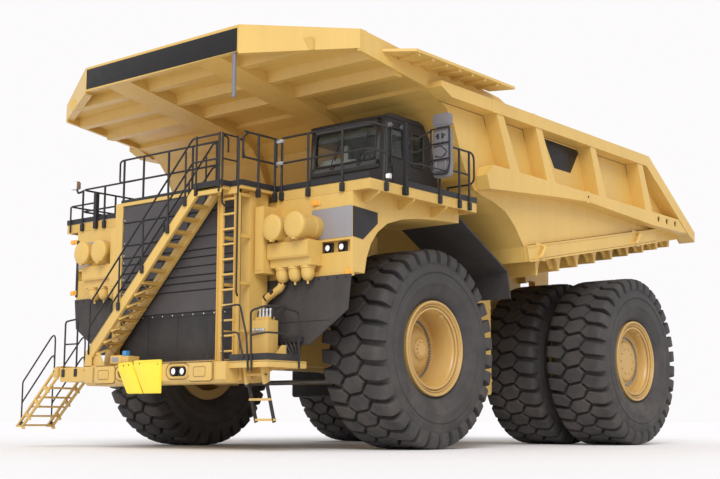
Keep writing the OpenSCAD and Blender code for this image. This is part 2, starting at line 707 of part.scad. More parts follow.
module hoist_barrel(s) {
    color(paint) hoist_frame(s) difference() {
        union() {
            translate([0, 0, 150]) cylinder(h = 2000, r = 195);
            rotate([0, 90, 0]) translate([0, 0, -195]) cylinder(h = 390, r = 195);
        }
        translate([0, 0, 230]) cylinder(h = 2000, r = 160 + gap);
        rotate([0, 90, 0]) translate([0, 0, -200]) cylinder(h = 400, r = 110 + gap);
    }
}

module hoist_tube(s) {
    color(steel) hoist_frame(s) difference() {
        translate([0, 0, 240]) cylinder(h = 2010, r = 160);
        translate([0, 0, 200]) cylinder(h = 2100, r = 110 + gap);
    }
}

module hoist_rod(s) {
    color([0.75, 0.76, 0.78]) hoist_frame(s) {
        translate([0, 0, 260]) cylinder(h = hoist_len - 300, r = 110);
        translate([0, 0, hoist_len]) rotate([0, 90, 0]) translate([0, 0, -95]) cylinder(h = 190, r = 150);
    }
}

module hoist_barrel_left() { hoist_barrel(1); }

module hoist_barrel_right() { hoist_barrel(-1); }

module hoist_tube_left() { hoist_tube(1); }

module hoist_tube_right() { hoist_tube(-1); }

module hoist_rod_left() { hoist_rod(1); }

module hoist_rod_right() { hoist_rod(-1); }

module knuckle(s) {
    color(paint) fa() scale([s, 1, 1]) difference() {
        union() {
            translate([kingpin_x, 0, 1500]) cylinder(h = 1200, r = 330);
            xcyl(kingpin_x, front_track_x + 100, 0, hub_z, 250);
            xcyl(kingpin_x + 200, front_track_x - 387, 0, hub_z, 520);
            bx(kingpin_x - 130, kingpin_x + 130, 200, 820, 1500, 1640);
        }
        translate([kingpin_x, 0, 1400]) cylinder(h = 1400, r = 200 + gap);
        translate([kingpin_x, 700, 1400]) cylinder(h = 400, r = 50 + gap);
    }
}

module knuckle_left() { knuckle(1); }

module knuckle_right() { knuckle(-1); }

module tie_rod() {
    color(steel) fa() {
        xcyl(-kingpin_x, kingpin_x, 700, 1420, 55);
        both() {
            translate([kingpin_x, 700, 1345]) cylinder(h = 150, r = 110);
            translate([kingpin_x, 700, 1400]) cylinder(h = 260, r = 50);
        }
    }
}

// Height of the sidewall from the rim flange to its widest place, as it is drawn below
drawn_wall = 496;

// A radius on the lower sidewall, which keeps clear of the rim flange
function wall_r(h) = flange_r + h * (bulge_r - flange_r) / drawn_wall;

// Half of the carcass: bead, bulging sidewall, shoulder and the floor of the grooves
carcass_half = [[rim_seat_r, 540], [wall_r(21), 540], [wall_r(56), 590], [wall_r(126), 640], [wall_r(226), 687],
    [wall_r(356), 722], [bulge_r, half_w],
    [1580, 731], [1700, 707], [1770, 680], [1840, 625], [1880, 570], [groove_r, 480]];
// Half of the ring that the lugs fill, from inside the carcass out to the crown
lug_half = [[1720, 690], [1800, 676], [1900, 650], [1970, 615], [tyre_r, 560]];

// A half profile with its mirror image
function whole(p) = concat(p, [for (i = [len(p) - 1 : -1 : 0]) [p[i][0], -p[i][1]]]);

// The outline of a toothed ring, each tooth a share of the pitch between two lugs
function teeth(share, turn) = [for (i = [0 : lugs - 1], k = [-1, 1], r = k < 0 ? [1740, 2100] : [2100, 1740])
    let (a = (i + turn + k * share / 2) * 360 / lugs) r * [cos(a), sin(a)]];

// A row of lugs between two places across the tread
module lug_row(x0, x1, share, turn) {
    translate([0, 0, x0]) linear_extrude(x1 - x0) difference() {
        polygon(teeth(share, turn));
        circle(r = 1715);
    }
}

// One tyre: its carcass, two rows of shoulder lugs and a row of centre blocks between them
module tyre(x, y) {
    color(rubber) fa() {
        turned(x, y, whole(carcass_half));
        intersection() {
            turned(x, y, whole(lug_half));
            translate([x, y, hub_z]) rotate([0, 90, 0]) {
                for (s = [-1, 1]) lug_row(s < 0 ? -720 : 170, s < 0 ? -170 : 720, 0.80, 0);
                lug_row(-130, 130, 0.84, 0.5);
            }
        }
    }
}

module tyre_front_left() { tyre(front_track_x, 0); }

module tyre_front_right() { tyre(-front_track_x, 0); }

module tyres_rear_left() {
    tyre(rear_outer_x, wheelbase);
    tyre(rear_inner_x, wheelbase);
}

module tyres_rear_right() {
    tyre(-rear_outer_x, wheelbase);
    tyre(-rear_inner_x, wheelbase);
}

// Front rim: barrel, two flanges, a dished disc and a capped hub
module rim_front(s) {
    b = rim_seat_r - gap;
    color(paint) fa() scale([s, 1, 1]) turned(front_track_x, 0, [[250 + gap, -380], [430, -380], [430, -100],
        [745, -80], [745, -603], [flange_r, -603], [flange_r, -540], [b, -540], [b, 540], [flange_r, 540],
        [flange_r, 603], [900, 603], [870, 560], [790, 520], [757, 470], [757, 20], [500, 20], [470, 100],
        [360, 170], [220, 220], [200, 270], [0, 275], [0, 130], [250 + gap, 130]]);
}

module rim_front_left() { rim_front(1); }

module rim_front_right() { rim_front(-1); }

// Rear rims: one long barrel with four flanges on the final drive's drum
module rims_rear(s) {
    b = rim_seat_r - gap;
    i = rear_inner_x;
    o = rear_outer_x;
    color(paint) fa() scale([s, 1, 1]) turned(0, wheelbase, [[420 + gap, 1720], [640, 1720], [640, 4200],
        [757, 4230], [757, i - 603], [flange_r, i - 603], [flange_r, i - 540], [b, i - 540], [b, i + 540],
        [flange_r, i + 540], [flange_r, i + 603], [b, i + 603], [b, o - 603], [flange_r, o - 603],
        [flange_r, o - 540], [b, o - 540], [b, o + 540], [flange_r, o + 540], [flange_r, o + 603],
        [900, o + 603], [870, o + 560], [790, o + 520], [757, o + 450], [757, 4350], [500, 4350], [470, 4390],
        [0, 4410], [0, 4180], [420 + gap, 4180]]);
}

module rims_rear_left() { rims_rear(1); }

module rims_rear_right() { rims_rear(-1); }

main_frame();
cross_members();
front_bumper();
wheel_chocks();
radiator_frame();
radiator_grille();
engine_block();
driveline();
rear_axle();
rear_struts();
front_struts();
hydraulic_tank();
fuel_tank();
upper_deck();
front_fenders();
air_cleaners();
head_lamps();
marker_lamps();
cab_shell();
cab_roof();
cab_glass();
cab_interior();
handrails();
diagonal_stair();
stair_rails();
centre_ladder();
lower_platform();
mirrors();
mud_flaps();
cab_door();
door_glass();
boarding_ladder();
bed_floor();
bed_underframe();
bed_side_left();
bed_side_right();
bed_front_wall();
bed_canopy();
canopy_wings();
hoist_barrel_left();
hoist_barrel_right();
hoist_tube_left();
hoist_tube_right();
hoist_rod_left();
hoist_rod_right();
knuckle_left();
knuckle_right();
tie_rod();
tyre_front_left();
tyre_front_right();
rim_front_left();
rim_front_right();
tyres_rear_left();
tyres_rear_right();
rims_rear_left();
rims_rear_right();
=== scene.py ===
"""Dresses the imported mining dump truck: treads, rails, cab trim, finishes and the photograph's camera."""
import json
import logging
import math
from collections.abc import Sequence
from dataclasses import dataclass
from enum import Enum
from functools import cache

import bmesh
import bpy
from mathutils import Euler, Matrix, Vector

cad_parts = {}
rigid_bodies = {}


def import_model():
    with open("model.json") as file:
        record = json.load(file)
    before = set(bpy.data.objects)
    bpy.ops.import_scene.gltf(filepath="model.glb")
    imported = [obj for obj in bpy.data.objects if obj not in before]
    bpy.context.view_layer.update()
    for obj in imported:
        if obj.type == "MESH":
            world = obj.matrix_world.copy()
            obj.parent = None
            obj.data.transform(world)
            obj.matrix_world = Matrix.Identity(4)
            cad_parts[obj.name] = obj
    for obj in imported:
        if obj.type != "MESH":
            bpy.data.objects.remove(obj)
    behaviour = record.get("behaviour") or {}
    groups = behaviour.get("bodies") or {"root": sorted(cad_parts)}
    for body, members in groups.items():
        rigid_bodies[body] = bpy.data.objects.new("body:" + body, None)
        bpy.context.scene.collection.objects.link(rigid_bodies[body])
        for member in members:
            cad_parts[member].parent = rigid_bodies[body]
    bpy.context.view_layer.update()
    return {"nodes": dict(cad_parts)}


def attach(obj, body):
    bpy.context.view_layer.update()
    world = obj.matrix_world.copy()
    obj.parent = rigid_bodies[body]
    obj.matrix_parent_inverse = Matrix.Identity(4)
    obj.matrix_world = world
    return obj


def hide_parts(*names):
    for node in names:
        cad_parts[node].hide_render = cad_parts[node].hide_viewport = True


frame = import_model()
LOG = logging.getLogger("truck")
# The front axle along Y in the row frame: every size below is measured from it, in metres.
FA = -3.3225
DECK = 4.98
HUB = 2.0
FRONT_TRACK = 3.267
REAR_AXLE = 7.195
REAR_TRACKS = (4.020, 2.214)
DUST = (0.40, 0.33, 0.25, 1.0)
COAT_ROUGH = 0.2
LENS_GLOW = 0.35
SMOOTH_BELOW = math.radians(32)
Point = tuple[float, float, float]
Flat = tuple[float, float]
Spot = tuple[Point, Point]
ORIGIN: Point = (0.0, 0.0, 0.0)
UPRIGHT: Point = (0.0, 0.0, 0.0)
FRONT_FACING: Point = (math.pi / 2, 0.0, 0.0)


def turns(count: int) -> list[float]:
    """Angles that share a full circle equally."""
    return [2 * math.pi * k / count for k in range(count)]


def outward(side: float) -> Point:
    """The Euler turns that face a copy out along X, on the side with that sign."""
    return (0.0, math.pi / 2 * side, 0.0)


class Sock:
    """A shader socket that takes part in plain arithmetic."""

    def __init__(self, tree: "Shader", out: bpy.types.NodeSocket) -> None:
        """Keeps the tree and its socket."""
        self.tree = tree
        self.out = out

    def _math(self, op: str, other: "Sock | float", swap: bool = False) -> "Sock":
        """One Math node.

        Args:
            op: The node's operation.
            other: The second operand.
            swap: True where the other operand stands first.

        Returns:
            The node's result.
        """
        first, second = (other, self) if swap else (self, other)
        return self.tree.node("ShaderNodeMath", {"operation": op}, {0: first, 1: second})

    def __add__(self, other: "Sock | float") -> "Sock":
        """self + other."""
        return self._math("ADD", other)

    def __sub__(self, other: "Sock | float") -> "Sock":
        """self - other."""
        return self._math("SUBTRACT", other)

    def __rsub__(self, other: float) -> "Sock":
        """other - self."""
        return self._math("SUBTRACT", other, True)

    def __mul__(self, other: "Sock | float") -> "Sock":
        """self * other."""
        return self._math("MULTIPLY", other)

    def sine(self) -> "Sock":
        """The sine of this value."""
        return self._math("SINE", 0.0)

    def most(self, other: "Sock | float") -> "Sock":
        """The larger of two values."""
        return self._math("MAXIMUM", other)

    def step(self, low: float, high: float) -> "Sock":
        """A smooth rise from 0 at low to 1 at high."""
        return self.tree.node("ShaderNodeMapRange", {"interpolation_type": "SMOOTHSTEP"},
                              {"Value": self, "From Min": low, "From Max": high})


class Shader:
    """A node tree of a material or of the world, written as plain code."""

    def __init__(self, owner: bpy.types.Material | bpy.types.World) -> None:
        """Empties the owner's tree."""
        owner.use_nodes = True
        self.tree = owner.node_tree
        self.tree.nodes.clear()

    def node(self, kind: str, settings: dict | None = None, inputs: dict | None = None,
             out: int | str | None = 0) -> Sock:
        """Adds a node.

        Args:
            kind: The node's type.
            settings: Properties to set on it.
            inputs: Values or sockets by input name or index.
            out: The output to hand back.

        Returns:
            That output, ready for arithmetic, or the node itself in its first socket's place.
        """
        made = self.tree.nodes.new(kind)
        for key, value in (settings or {}).items():
            setattr(made, key, value)
        for key, value in (inputs or {}).items():
            if isinstance(value, Sock):
                self.tree.links.new(value.out, made.inputs[key])
            else:
                made.inputs[key].default_value = value
        return Sock(self, made.outputs[out]) if made.outputs else Sock(self, None)

    def noise(self, where: Sock, scale: float, detail: float = 4.0, rough: float = 0.55) -> Sock:
        """A noise value from 0 to 1 at a scale in features to the metre."""
        return self.node("ShaderNodeTexNoise", {}, {"Vector": where, "Scale": scale, "Detail": detail,
                                                    "Roughness": rough})

    def axis(self, where: Sock, index: int) -> Sock:
        """One part of a coordinate: 0 for X, 1 for Y and 2 for Z."""
        return self.node("ShaderNodeSeparateXYZ", {}, {0: where}, index)

    def mix(self, factor: "Sock | float", low: object, high: object) -> Sock:
        """A colour between two others."""
        return self.node("ShaderNodeMix", {"data_type": "RGBA"}, {0: factor, 6: low, 7: high}, 2)


class Grain(Enum):
    """What a finish is made of, which sets its node tree."""

    PAINT = "paint"
    PLATE = "plate"
    RUBBER = "rubber"
    METAL = "metal"
    CLOTH = "cloth"
    GLASS = "glass"
    LENS = "lens"


@dataclass(frozen=True)
class Finish:
    """One procedural material and the record's slot that it belongs to."""

    name: str
    slot: str
    colour: Point
    rough: float = 0.45
    metal: float = 0.0
    coat: float = 0.0
    grain: Grain = Grain.PAINT
    dust: float = 0.25
    shine: float = 0.5

    @cache
    def material(self) -> bpy.types.Material:
        """Builds the material once.

        Returns:
            The material, shared by every piece with this finish.
        """
        made = bpy.data.materials.new(self.name)
        tree = Shader(made)
        where = tree.node("ShaderNodeTexCoord", out="Object")
        shader = tree.tree.nodes.new("ShaderNodeBsdfPrincipled")
        shader.inputs["Metallic"].default_value = self.metal
        shader.inputs["Coat Weight"].default_value = self.coat
        shader.inputs["Coat Roughness"].default_value = COAT_ROUGH
        if self.grain is Grain.LENS:
            shader.inputs["Emission Strength"].default_value = LENS_GLOW
        shader.inputs["Specular IOR Level"].default_value = self.shine
        looks = {Grain.PAINT: self._paint, Grain.PLATE: self._plate, Grain.RUBBER: self._rubber,
                 Grain.METAL: self._metal, Grain.CLOTH: self._cloth, Grain.GLASS: self._glass,
                 Grain.LENS: self._lens}
        for name, sock in looks[self.grain](tree, where).items():
            tree.tree.links.new(sock.out, shader.inputs[name])
        last = tree.tree.nodes.new("ShaderNodeOutputMaterial")
        tree.tree.links.new(shader.outputs[0], last.inputs["Surface"])
        return made

    def _shade(self, gain: float) -> tuple[float, float, float, float]:
        """The finish's colour, lighter or darker."""
        return (*[min(1.0, c * gain) for c in self.colour], 1.0)

    def _bump(self, tree: Shader, height: Sock, depth: float) -> Sock:
        """A normal from a height, with its depth in metres."""
        return tree.node("ShaderNodeBump", {}, {"Strength": 0.6, "Distance": depth, "Height": height})

    def _dusty(self, tree: Shader, where: Sock, clean: Sock) -> Sock:
        """Lays dust over a colour, thickest near the ground.

        Args:
            tree: The material's tree.
            where: Object coordinates.
            clean: The colour below the dust.

        Returns:
            The dusty colour.
        """
        low = 1.0 - tree.axis(where, 2).step(0.2, 4.2)
        cloud = tree.noise(where, 1.7, 5.0, 0.65)
        amount = low * cloud.step(0.35, 0.75) * self.dust + cloud * self.dust * 0.12
        return tree.mix(amount, clean, DUST)

    def _paint(self, tree: Shader, where: Sock) -> dict[str, Sock]:
        """Sprayed paint: broad tone, rain streaks, orange peel and dust."""
        long = tree.node("ShaderNodeMapping", {}, {"Vector": where, "Scale": (5.0, 5.0, 0.5)})
        tone = tree.noise(where, 0.45, 3.0) * 0.6 + tree.noise(long, 1.0, 4.0) * 0.4
        peel = tree.noise(where, 55.0, 2.0)
        scuff = tree.noise(where, 6.0, 6.0, 0.7)
        colour = tree.mix(tone.step(0.3, 0.7), self._shade(0.94), self._shade(1.05))
        return {"Base Color": self._dusty(tree, where, colour),
                "Roughness": scuff.step(0.3, 0.8) * 0.2 + (self.rough - 0.08),
                "Normal": self._bump(tree, peel * 0.5 + scuff * 0.5, 0.0015)}

    def _plate(self, tree: Shader, where: Sock) -> dict[str, Sock]:
        """Raised chequer plate in paint, worn brighter on its tears."""
        x = tree.axis(where, 0)
        y = tree.axis(where, 1)
        tears = ((x + y) * 95.0).sine() * ((x - y) * 95.0).sine()
        raised = tears.step(0.15, 0.5)
        parts = self._paint(tree, where)
        worn = raised * tree.noise(where, 2.5).step(0.45, 0.7) * 0.25
        return {"Base Color": tree.mix(worn, parts["Base Color"], self._shade(1.25)),
                "Roughness": parts["Roughness"], "Normal": self._bump(tree, raised, 0.004)}

    def _rubber(self, tree: Shader, where: Sock) -> dict[str, Sock]:
        """Moulded rubber: fine pores, mould bloom and dust low down."""
        pores = tree.noise(where, 90.0, 3.0)
        bloom = tree.noise(where, 2.2, 6.0, 0.7)
        colour = tree.mix(bloom.step(0.3, 0.75), self._shade(0.82), self._shade(1.15))
        return {"Base Color": self._dusty(tree, where, colour),
                "Roughness": pores * 0.15 + (self.rough - 0.05),
                "Normal": self._bump(tree, pores * 0.4 + bloom * 0.6, 0.002)}

    def _metal(self, tree: Shader, where: Sock) -> dict[str, Sock]:
        """Bare metal with fine machining marks and stains."""
        marks = tree.node("ShaderNodeMapping", {}, {"Vector": where, "Scale": (4.0, 60.0, 60.0)})
        lines = tree.noise(marks, 6.0, 3.0)
        stain = tree.noise(where, 3.0, 6.0, 0.7)
        colour = tree.mix(stain.step(0.45, 0.8), self._shade(1.0), self._shade(0.72))
        return {"Base Color": colour, "Roughness": lines * 0.15 + stain * 0.15 + (self.rough - 0.12),
                "Normal": self._bump(tree, lines, 0.0006)}

    def _cloth(self, tree: Shader, where: Sock) -> dict[str, Sock]:
        """Woven seat cloth, over and under, with a soft fade."""
        x = tree.axis(where, 0)
        z = tree.node("ShaderNodeVectorMath", {"operation": "DOT_PRODUCT"},
                      {0: where, 1: (0.0, 0.7, 0.7)}, "Value")
        weave = (x * 1900.0).sine() * (z * 1900.0).sine() * 0.5 + 0.5
        fade = tree.noise(where, 4.0, 5.0)
        colour = tree.mix(weave * 0.5 + fade * 0.5, self._shade(0.75), self._shade(1.15))
        return {"Base Color": colour, "Roughness": fade * 0.1 + (self.rough - 0.05),
                "Normal": self._bump(tree, weave, 0.001)}

    def _glass(self, tree: Shader, where: Sock) -> dict[str, Sock]:
        """Tinted glass that grows less clear where dust lies."""
        film = tree.noise(where, 3.0, 6.0, 0.7)
        band = tree.axis(where, 2).step(6.19, 6.22)
        colour = tree.mix(film.step(0.5, 0.9), self._shade(1.0), (0.20, 0.20, 0.16, 1.0))
        return {"Base Color": colour, "Roughness": film * 0.06 + 0.02,
                "Alpha": film.step(0.35, 0.9) * 0.1 + 0.2 + band * 0.4}

    def _lens(self, tree: Shader, where: Sock) -> dict[str, Sock]:
        """A ribbed lamp lens with a little light of its own."""
        x = tree.axis(where, 0)
        ribs = (x * 420.0).sine() * 0.5 + 0.5
        colour = tree.mix(ribs, self._shade(0.88), self._shade(1.08))
        return {"Base Color": colour, "Emission Color": colour, "Roughness": ribs * 0.08 + 0.12,
                "Normal": self._bump(tree, ribs, 0.002)}


PAINT = Finish("body_paint", "body_paint", (0.70, 0.455, 0.120), 0.46, coat=0.1)
TREAD_PLATE = Finish("deck_plate", "body_paint", (0.66, 0.425, 0.112), 0.52, grain=Grain.PLATE)
RIM_PAINT = Finish("rim_paint", "body_paint", (0.56, 0.345, 0.100), 0.42, coat=0.15)
# Dark brown paint for thin lines along joints and edges: painted shade in the crevices.
PAINTED_SEAM_SHADE = Finish("seam_shade", "body_paint", (0.20, 0.115, 0.035), 0.6)
BLACK = Finish("black_paint", "black_paint", (0.027, 0.026, 0.028), 0.5, dust=0.1, shine=0.25)
CAB_BLACK = Finish("cab_black", "black_paint", (0.025, 0.024, 0.026), 0.42, dust=0.1, shine=0.3)
GRILLE = Finish("grille_grey", "black_paint", (0.070, 0.064, 0.067), 0.55, dust=0.12, shine=0.25)
TYRE = Finish("tyre_rubber", "tyre_rubber", (0.053, 0.049, 0.050), 0.72, grain=Grain.RUBBER, dust=0.12,
              shine=0.35)
FLAP = Finish("flap_rubber", "flap_rubber", (0.052, 0.047, 0.046), 0.7, grain=Grain.RUBBER, dust=0.12,
              shine=0.35)
SEAL = Finish("seal_rubber", "flap_rubber", (0.022, 0.022, 0.023), 0.55, grain=Grain.RUBBER, dust=0.05)
STEEL = Finish("bare_steel", "bare_steel", (0.32, 0.31, 0.30), 0.5, metal=0.7, grain=Grain.METAL)
ZINC = Finish("zinc_steel", "bare_steel", (0.62, 0.62, 0.63), 0.36, metal=0.9, grain=Grain.METAL)
ROD = Finish("bright_rod", "bright_rod", (0.78, 0.79, 0.80), 0.16, metal=1.0, grain=Grain.METAL)
CHOCK = Finish("chock_yellow", "chock_yellow", (0.93, 0.72, 0.045), 0.42, coat=0.1, dust=0.08)
BLUE = Finish("blue_cap", "blue_cap", (0.07, 0.27, 0.56), 0.4, dust=0.08)
GLOSS = Finish("cab_gloss", "black_paint", (0.018, 0.021, 0.019), 0.12, coat=0.4, dust=0.03)
LENS = Finish("lamp_lens", "lamp_lens", (0.92, 0.92, 0.90), grain=Grain.LENS)
AMBER = Finish("amber_lens", "amber_lens", (0.95, 0.32, 0.03), grain=Grain.LENS)
SIGN = Finish("sign_black", "black_paint", (0.014, 0.013, 0.014), 0.42, dust=0.04, shine=0.25)
PANE = Finish("cab_pane", "cab_pane", (0.055, 0.065, 0.055), grain=Grain.GLASS, shine=0.6)
SUN_BAND = Finish("sun_band", "cab_pane", (0.045, 0.062, 0.048), 0.3, dust=0.03)
CLOTH = Finish("seat_cloth", "seat_cloth", (0.42, 0.47, 0.44), 0.8, grain=Grain.CLOTH)
DASH = Finish("dash_plastic", "mirror_grey", (0.11, 0.12, 0.115), 0.6, dust=0.05)
PALE = Finish("panel_pale", "mirror_grey", (0.66, 0.76, 0.69), 0.6, dust=0.05)
MIRROR = Finish("mirror_grey", "mirror_grey", (0.185, 0.177, 0.188), 0.5, dust=0.05)
PLATE_GREY = Finish("plate_grey", "mirror_grey", (0.30, 0.285, 0.295), 0.4, coat=0.1, dust=0.05)

NODES_BY_FINISH: dict[Finish, Sequence[str]] = {
    GRILLE: ("radiator_grille",),
    STEEL: ("engine_block", "driveline", "rear_struts", "tie_rod"),
    CAB_BLACK: ("cab_shell", "cab_roof", "cab_door"),
    PANE: ("cab_glass", "door_glass"),
    FLAP: ("mud_flaps",),
    BLACK: ("fuel_tank",),
    TREAD_PLATE: ("upper_deck",),
    ROD: ("hoist_tube_left", "hoist_tube_right", "hoist_rod_left", "hoist_rod_right"),
    RIM_PAINT: ("rim_front_left", "rim_front_right", "rims_rear_left", "rims_rear_right")}
NODE_FINISH = {name: finish for finish, names in NODES_BY_FINISH.items() for name in names}


def bend(path: Sequence[Point], radius: float, steps: int = 5) -> list[Vector]:
    """Rounds the corners of a path.

    Args:
        path: Its corner points.
        radius: The bend radius.
        steps: Points in each bend, less one.

    Returns:
        The rounded path.
    """
    pts = [Vector(p) for p in path]
    out = [pts[0]]
    for a, b, c in zip(pts, pts[1:], pts[2:]):
        u, v = (a - b).normalized(), (c - b).normalized()
        half = u.angle(v) / 2
        reach = min(radius / max(math.tan(half), 0.05), (a - b).length * 0.48, (c - b).length * 0.48)
        for k in range(steps + 1):
            t = k / steps
            out.append((b + u * reach) * (1 - t) ** 2 + b * 2 * t * (1 - t) + (b + v * reach) * t ** 2)
    out.append(pts[-1])
    return out


class Form:
    """Collects closed shapes, measured from the front axle, into one mesh."""

    def __init__(self) -> None:
        """Starts empty, in the first finish."""
        self.bm = bmesh.new()
        self.index = 0

    def use(self, index: int) -> "Form":
        """Chooses which of the piece's finishes the next shapes take."""
        self.index = index
        return self

    def _done(self, faces: Sequence[bmesh.types.BMFace], bevel: float) -> None:
        """Gives faces their finish and breaks their edges."""
        for f in faces:
            f.material_index = self.index
        if bevel > 0.0:
            edges = list({e for f in faces for e in f.edges})
            bmesh.ops.bevel(self.bm, geom=edges, offset=bevel, segments=2, profile=0.6, affect="EDGES",
                            clamp_overlap=True, material=-1)

    def loft(self, rings: Sequence[Sequence[bmesh.types.BMVert]]) -> list[bmesh.types.BMFace]:
        """Skins rings of equal length and caps both ends.

        Args:
            rings: Rows of corners that go round the same way.

        Returns:
            The faces, caps first.
        """
        n = len(rings[0])
        new = self.bm.faces.new
        faces = [new(rings[0]), new(rings[-1])]
        for a, b in zip(rings, rings[1:]):
            faces += [new((a[k], a[(k + 1) % n], b[(k + 1) % n], b[k])) for k in range(n)]
        return faces

    def prism(self, axis: str, low: float, high: float, pts: Sequence[Flat], bevel: float = 0.006) -> None:
        """A flat outline drawn out along an axis.

        Args:
            axis: X with points in Y and Z, Y with points in X and Z, or Z with points in X and Y.
            low: Where it starts.
            high: Where it ends.
            pts: The outline.
            bevel: The width of its broken edges.
        """
        place = {"X": lambda a, b, c: (c, a, b),
                 "Y": lambda a, b, c: (a, c, b),
                 "Z": lambda a, b, c: (a, b, c)}[axis]
        self._done(self.loft([[self.bm.verts.new(place(a, b, c)) for a, b in pts] for c in (low, high)]),
                   bevel)

    def box(self, low: Point, high: Point, bevel: float = 0.006) -> None:
        """A block between two corners, with broken edges."""
        (x0, y0, z0), (x1, y1, z1) = low, high
        self.prism("Z", z0, z1, [(x0, y0), (x1, y0), (x1, y1), (x0, y1)], bevel)

    def beam(self, start: Point, end: Point, wide: float, deep: float, up: Point = (0, 0, 1),
             bevel: float = 0.004) -> None:
        """A straight bar of rectangular section.

        Args:
            start: The middle of one end.
            end: The middle of the other.
            wide: Its size across.
            deep: Its size along up.
            up: The direction its depth leans to.
            bevel: The width of its broken edges.
        """
        a, b = Vector(start), Vector(end)
        along = (b - a).normalized()
        side = along.cross(Vector(up)).normalized()
        top = side.cross(along)
        turn = Matrix((side * wide, along * (b - a).length, top * deep)).transposed().to_4x4()
        turn.translation = (a + b) / 2
        made = bmesh.ops.create_cube(self.bm, size=1.0, matrix=turn)["verts"]
        self._done(list({f for v in made for f in v.link_faces}), bevel)

    def tube(self, path: Sequence[Point | Vector], radius: float, sides: int = 10) -> None:
        """A round tube along a path, closed at both ends.

        Args:
            path: Its points.
            radius: Its radius.
            sides: Facets round it.
        """
        pts = [Vector(p) for p in path]
        along = [(b - a).normalized() for a, b in zip(pts, pts[1:])]
        heads = [along[0]] + [(a + b).normalized() for a, b in zip(along, along[1:])] + [along[-1]]
        out = heads[0].orthogonal().normalized()
        rings = []
        for p, h in zip(pts, heads):
            out = (out - h * out.dot(h)).normalized()
            side = h.cross(out)
            rings.append([self.bm.verts.new(p + (out * math.cos(t) + side * math.sin(t)) * radius)
                          for t in turns(sides)])
        self._done(self.loft(rings), 0.0)

    def lathe(self, profile: Sequence[Flat], centre: Point, axis: str = "X", sides: int = 48) -> None:
        """A closed profile turned about an axis.

        Args:
            profile: Points of radius and distance along the axis, going round.
            centre: A point on the axis.
            axis: The axis.
            sides: Facets round it.
        """
        spin = {"X": lambda r, a, t: (a, r * math.cos(t), r * math.sin(t)),
                "Y": lambda r, a, t: (r * math.cos(t), a, r * math.sin(t)),
                "Z": lambda r, a, t: (r * math.cos(t), r * math.sin(t), a)}[axis]
        base = Vector(centre)
        n = len(profile)
        ends = {i: self.bm.verts.new(base + Vector(spin(0.0, a, 0.0)))
                for i, (r, a) in enumerate(profile) if r == 0.0}
        rings = [[ends.get(i) or self.bm.verts.new(base + Vector(spin(r, a, t)))
                  for i, (r, a) in enumerate(profile)] for t in turns(sides)]
        faces = []
        for k in range(sides):
            a, b = rings[k], rings[(k + 1) % sides]
            for i in range(n):
                corners = list(dict.fromkeys((a[i], a[(i + 1) % n], b[(i + 1) % n], b[i])))
                if len(corners) > 2:
                    faces.append(self.bm.faces.new(corners))
        self._done(faces, 0.0)

    def mirrored(self) -> "Form":
        """Adds the same shapes on the truck's other side."""
        geom = self.bm.verts[:] + self.bm.edges[:] + self.bm.faces[:]
        for v in bmesh.ops.duplicate(self.bm, geom=geom)["geom"]:
            if isinstance(v, bmesh.types.BMVert):
                v.co.x = -v.co.x
        return self

    def mesh(self, name: str, finishes: Sequence[Finish], shift: float = FA) -> bpy.types.Mesh:
        """The finished mesh, with outward normals and smooth rounds.

        Args:
            name: Its name.
            finishes: Its finishes, in the order of use().
            shift: How far it moves along Y into the row frame.

        Returns:
            The mesh.
        """
        bmesh.ops.recalc_face_normals(self.bm, faces=self.bm.faces[:])
        for v in self.bm.verts:
            v.co.y += shift
        made = bpy.data.meshes.new(name)
        self.bm.to_mesh(made)
        self.bm.free()
        made.shade_smooth()
        made.set_sharp_from_angle(angle=SMOOTH_BELOW)
        for finish in finishes:
            made.materials.append(finish.material())
        return made

    def piece(self, name: str, body: str, *finishes: Finish,
              stands_for: Sequence[str] = ()) -> bpy.types.Object:
        """Puts the shapes in the scene as one piece.

        Args:
            name: The piece's name.
            body: The CAD body that it rides on.
            finishes: Its finishes, in the order of use().
            stands_for: CAD nodes that it replaces.

        Returns:
            The piece.
        """
        return settle(bpy.data.objects.new(name, self.mesh(name, finishes)), body, stands_for)


def settle(obj: bpy.types.Object, body: str,
           stands_for: Sequence[str] = ()) -> bpy.types.Object:
    """Links a piece and declares what it rides on and stands for.

    Args:
        obj: The piece.
        body: The CAD body that it rides on.
        stands_for: CAD nodes that it replaces.

    Returns:
        The same piece.
    """
    bpy.context.scene.collection.objects.link(obj)
    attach(obj, body)
    if stands_for:
        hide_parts(*stands_for)
    LOG.info("%s on %s: %d faces", obj.name, body, len(obj.data.polygons))
    return obj


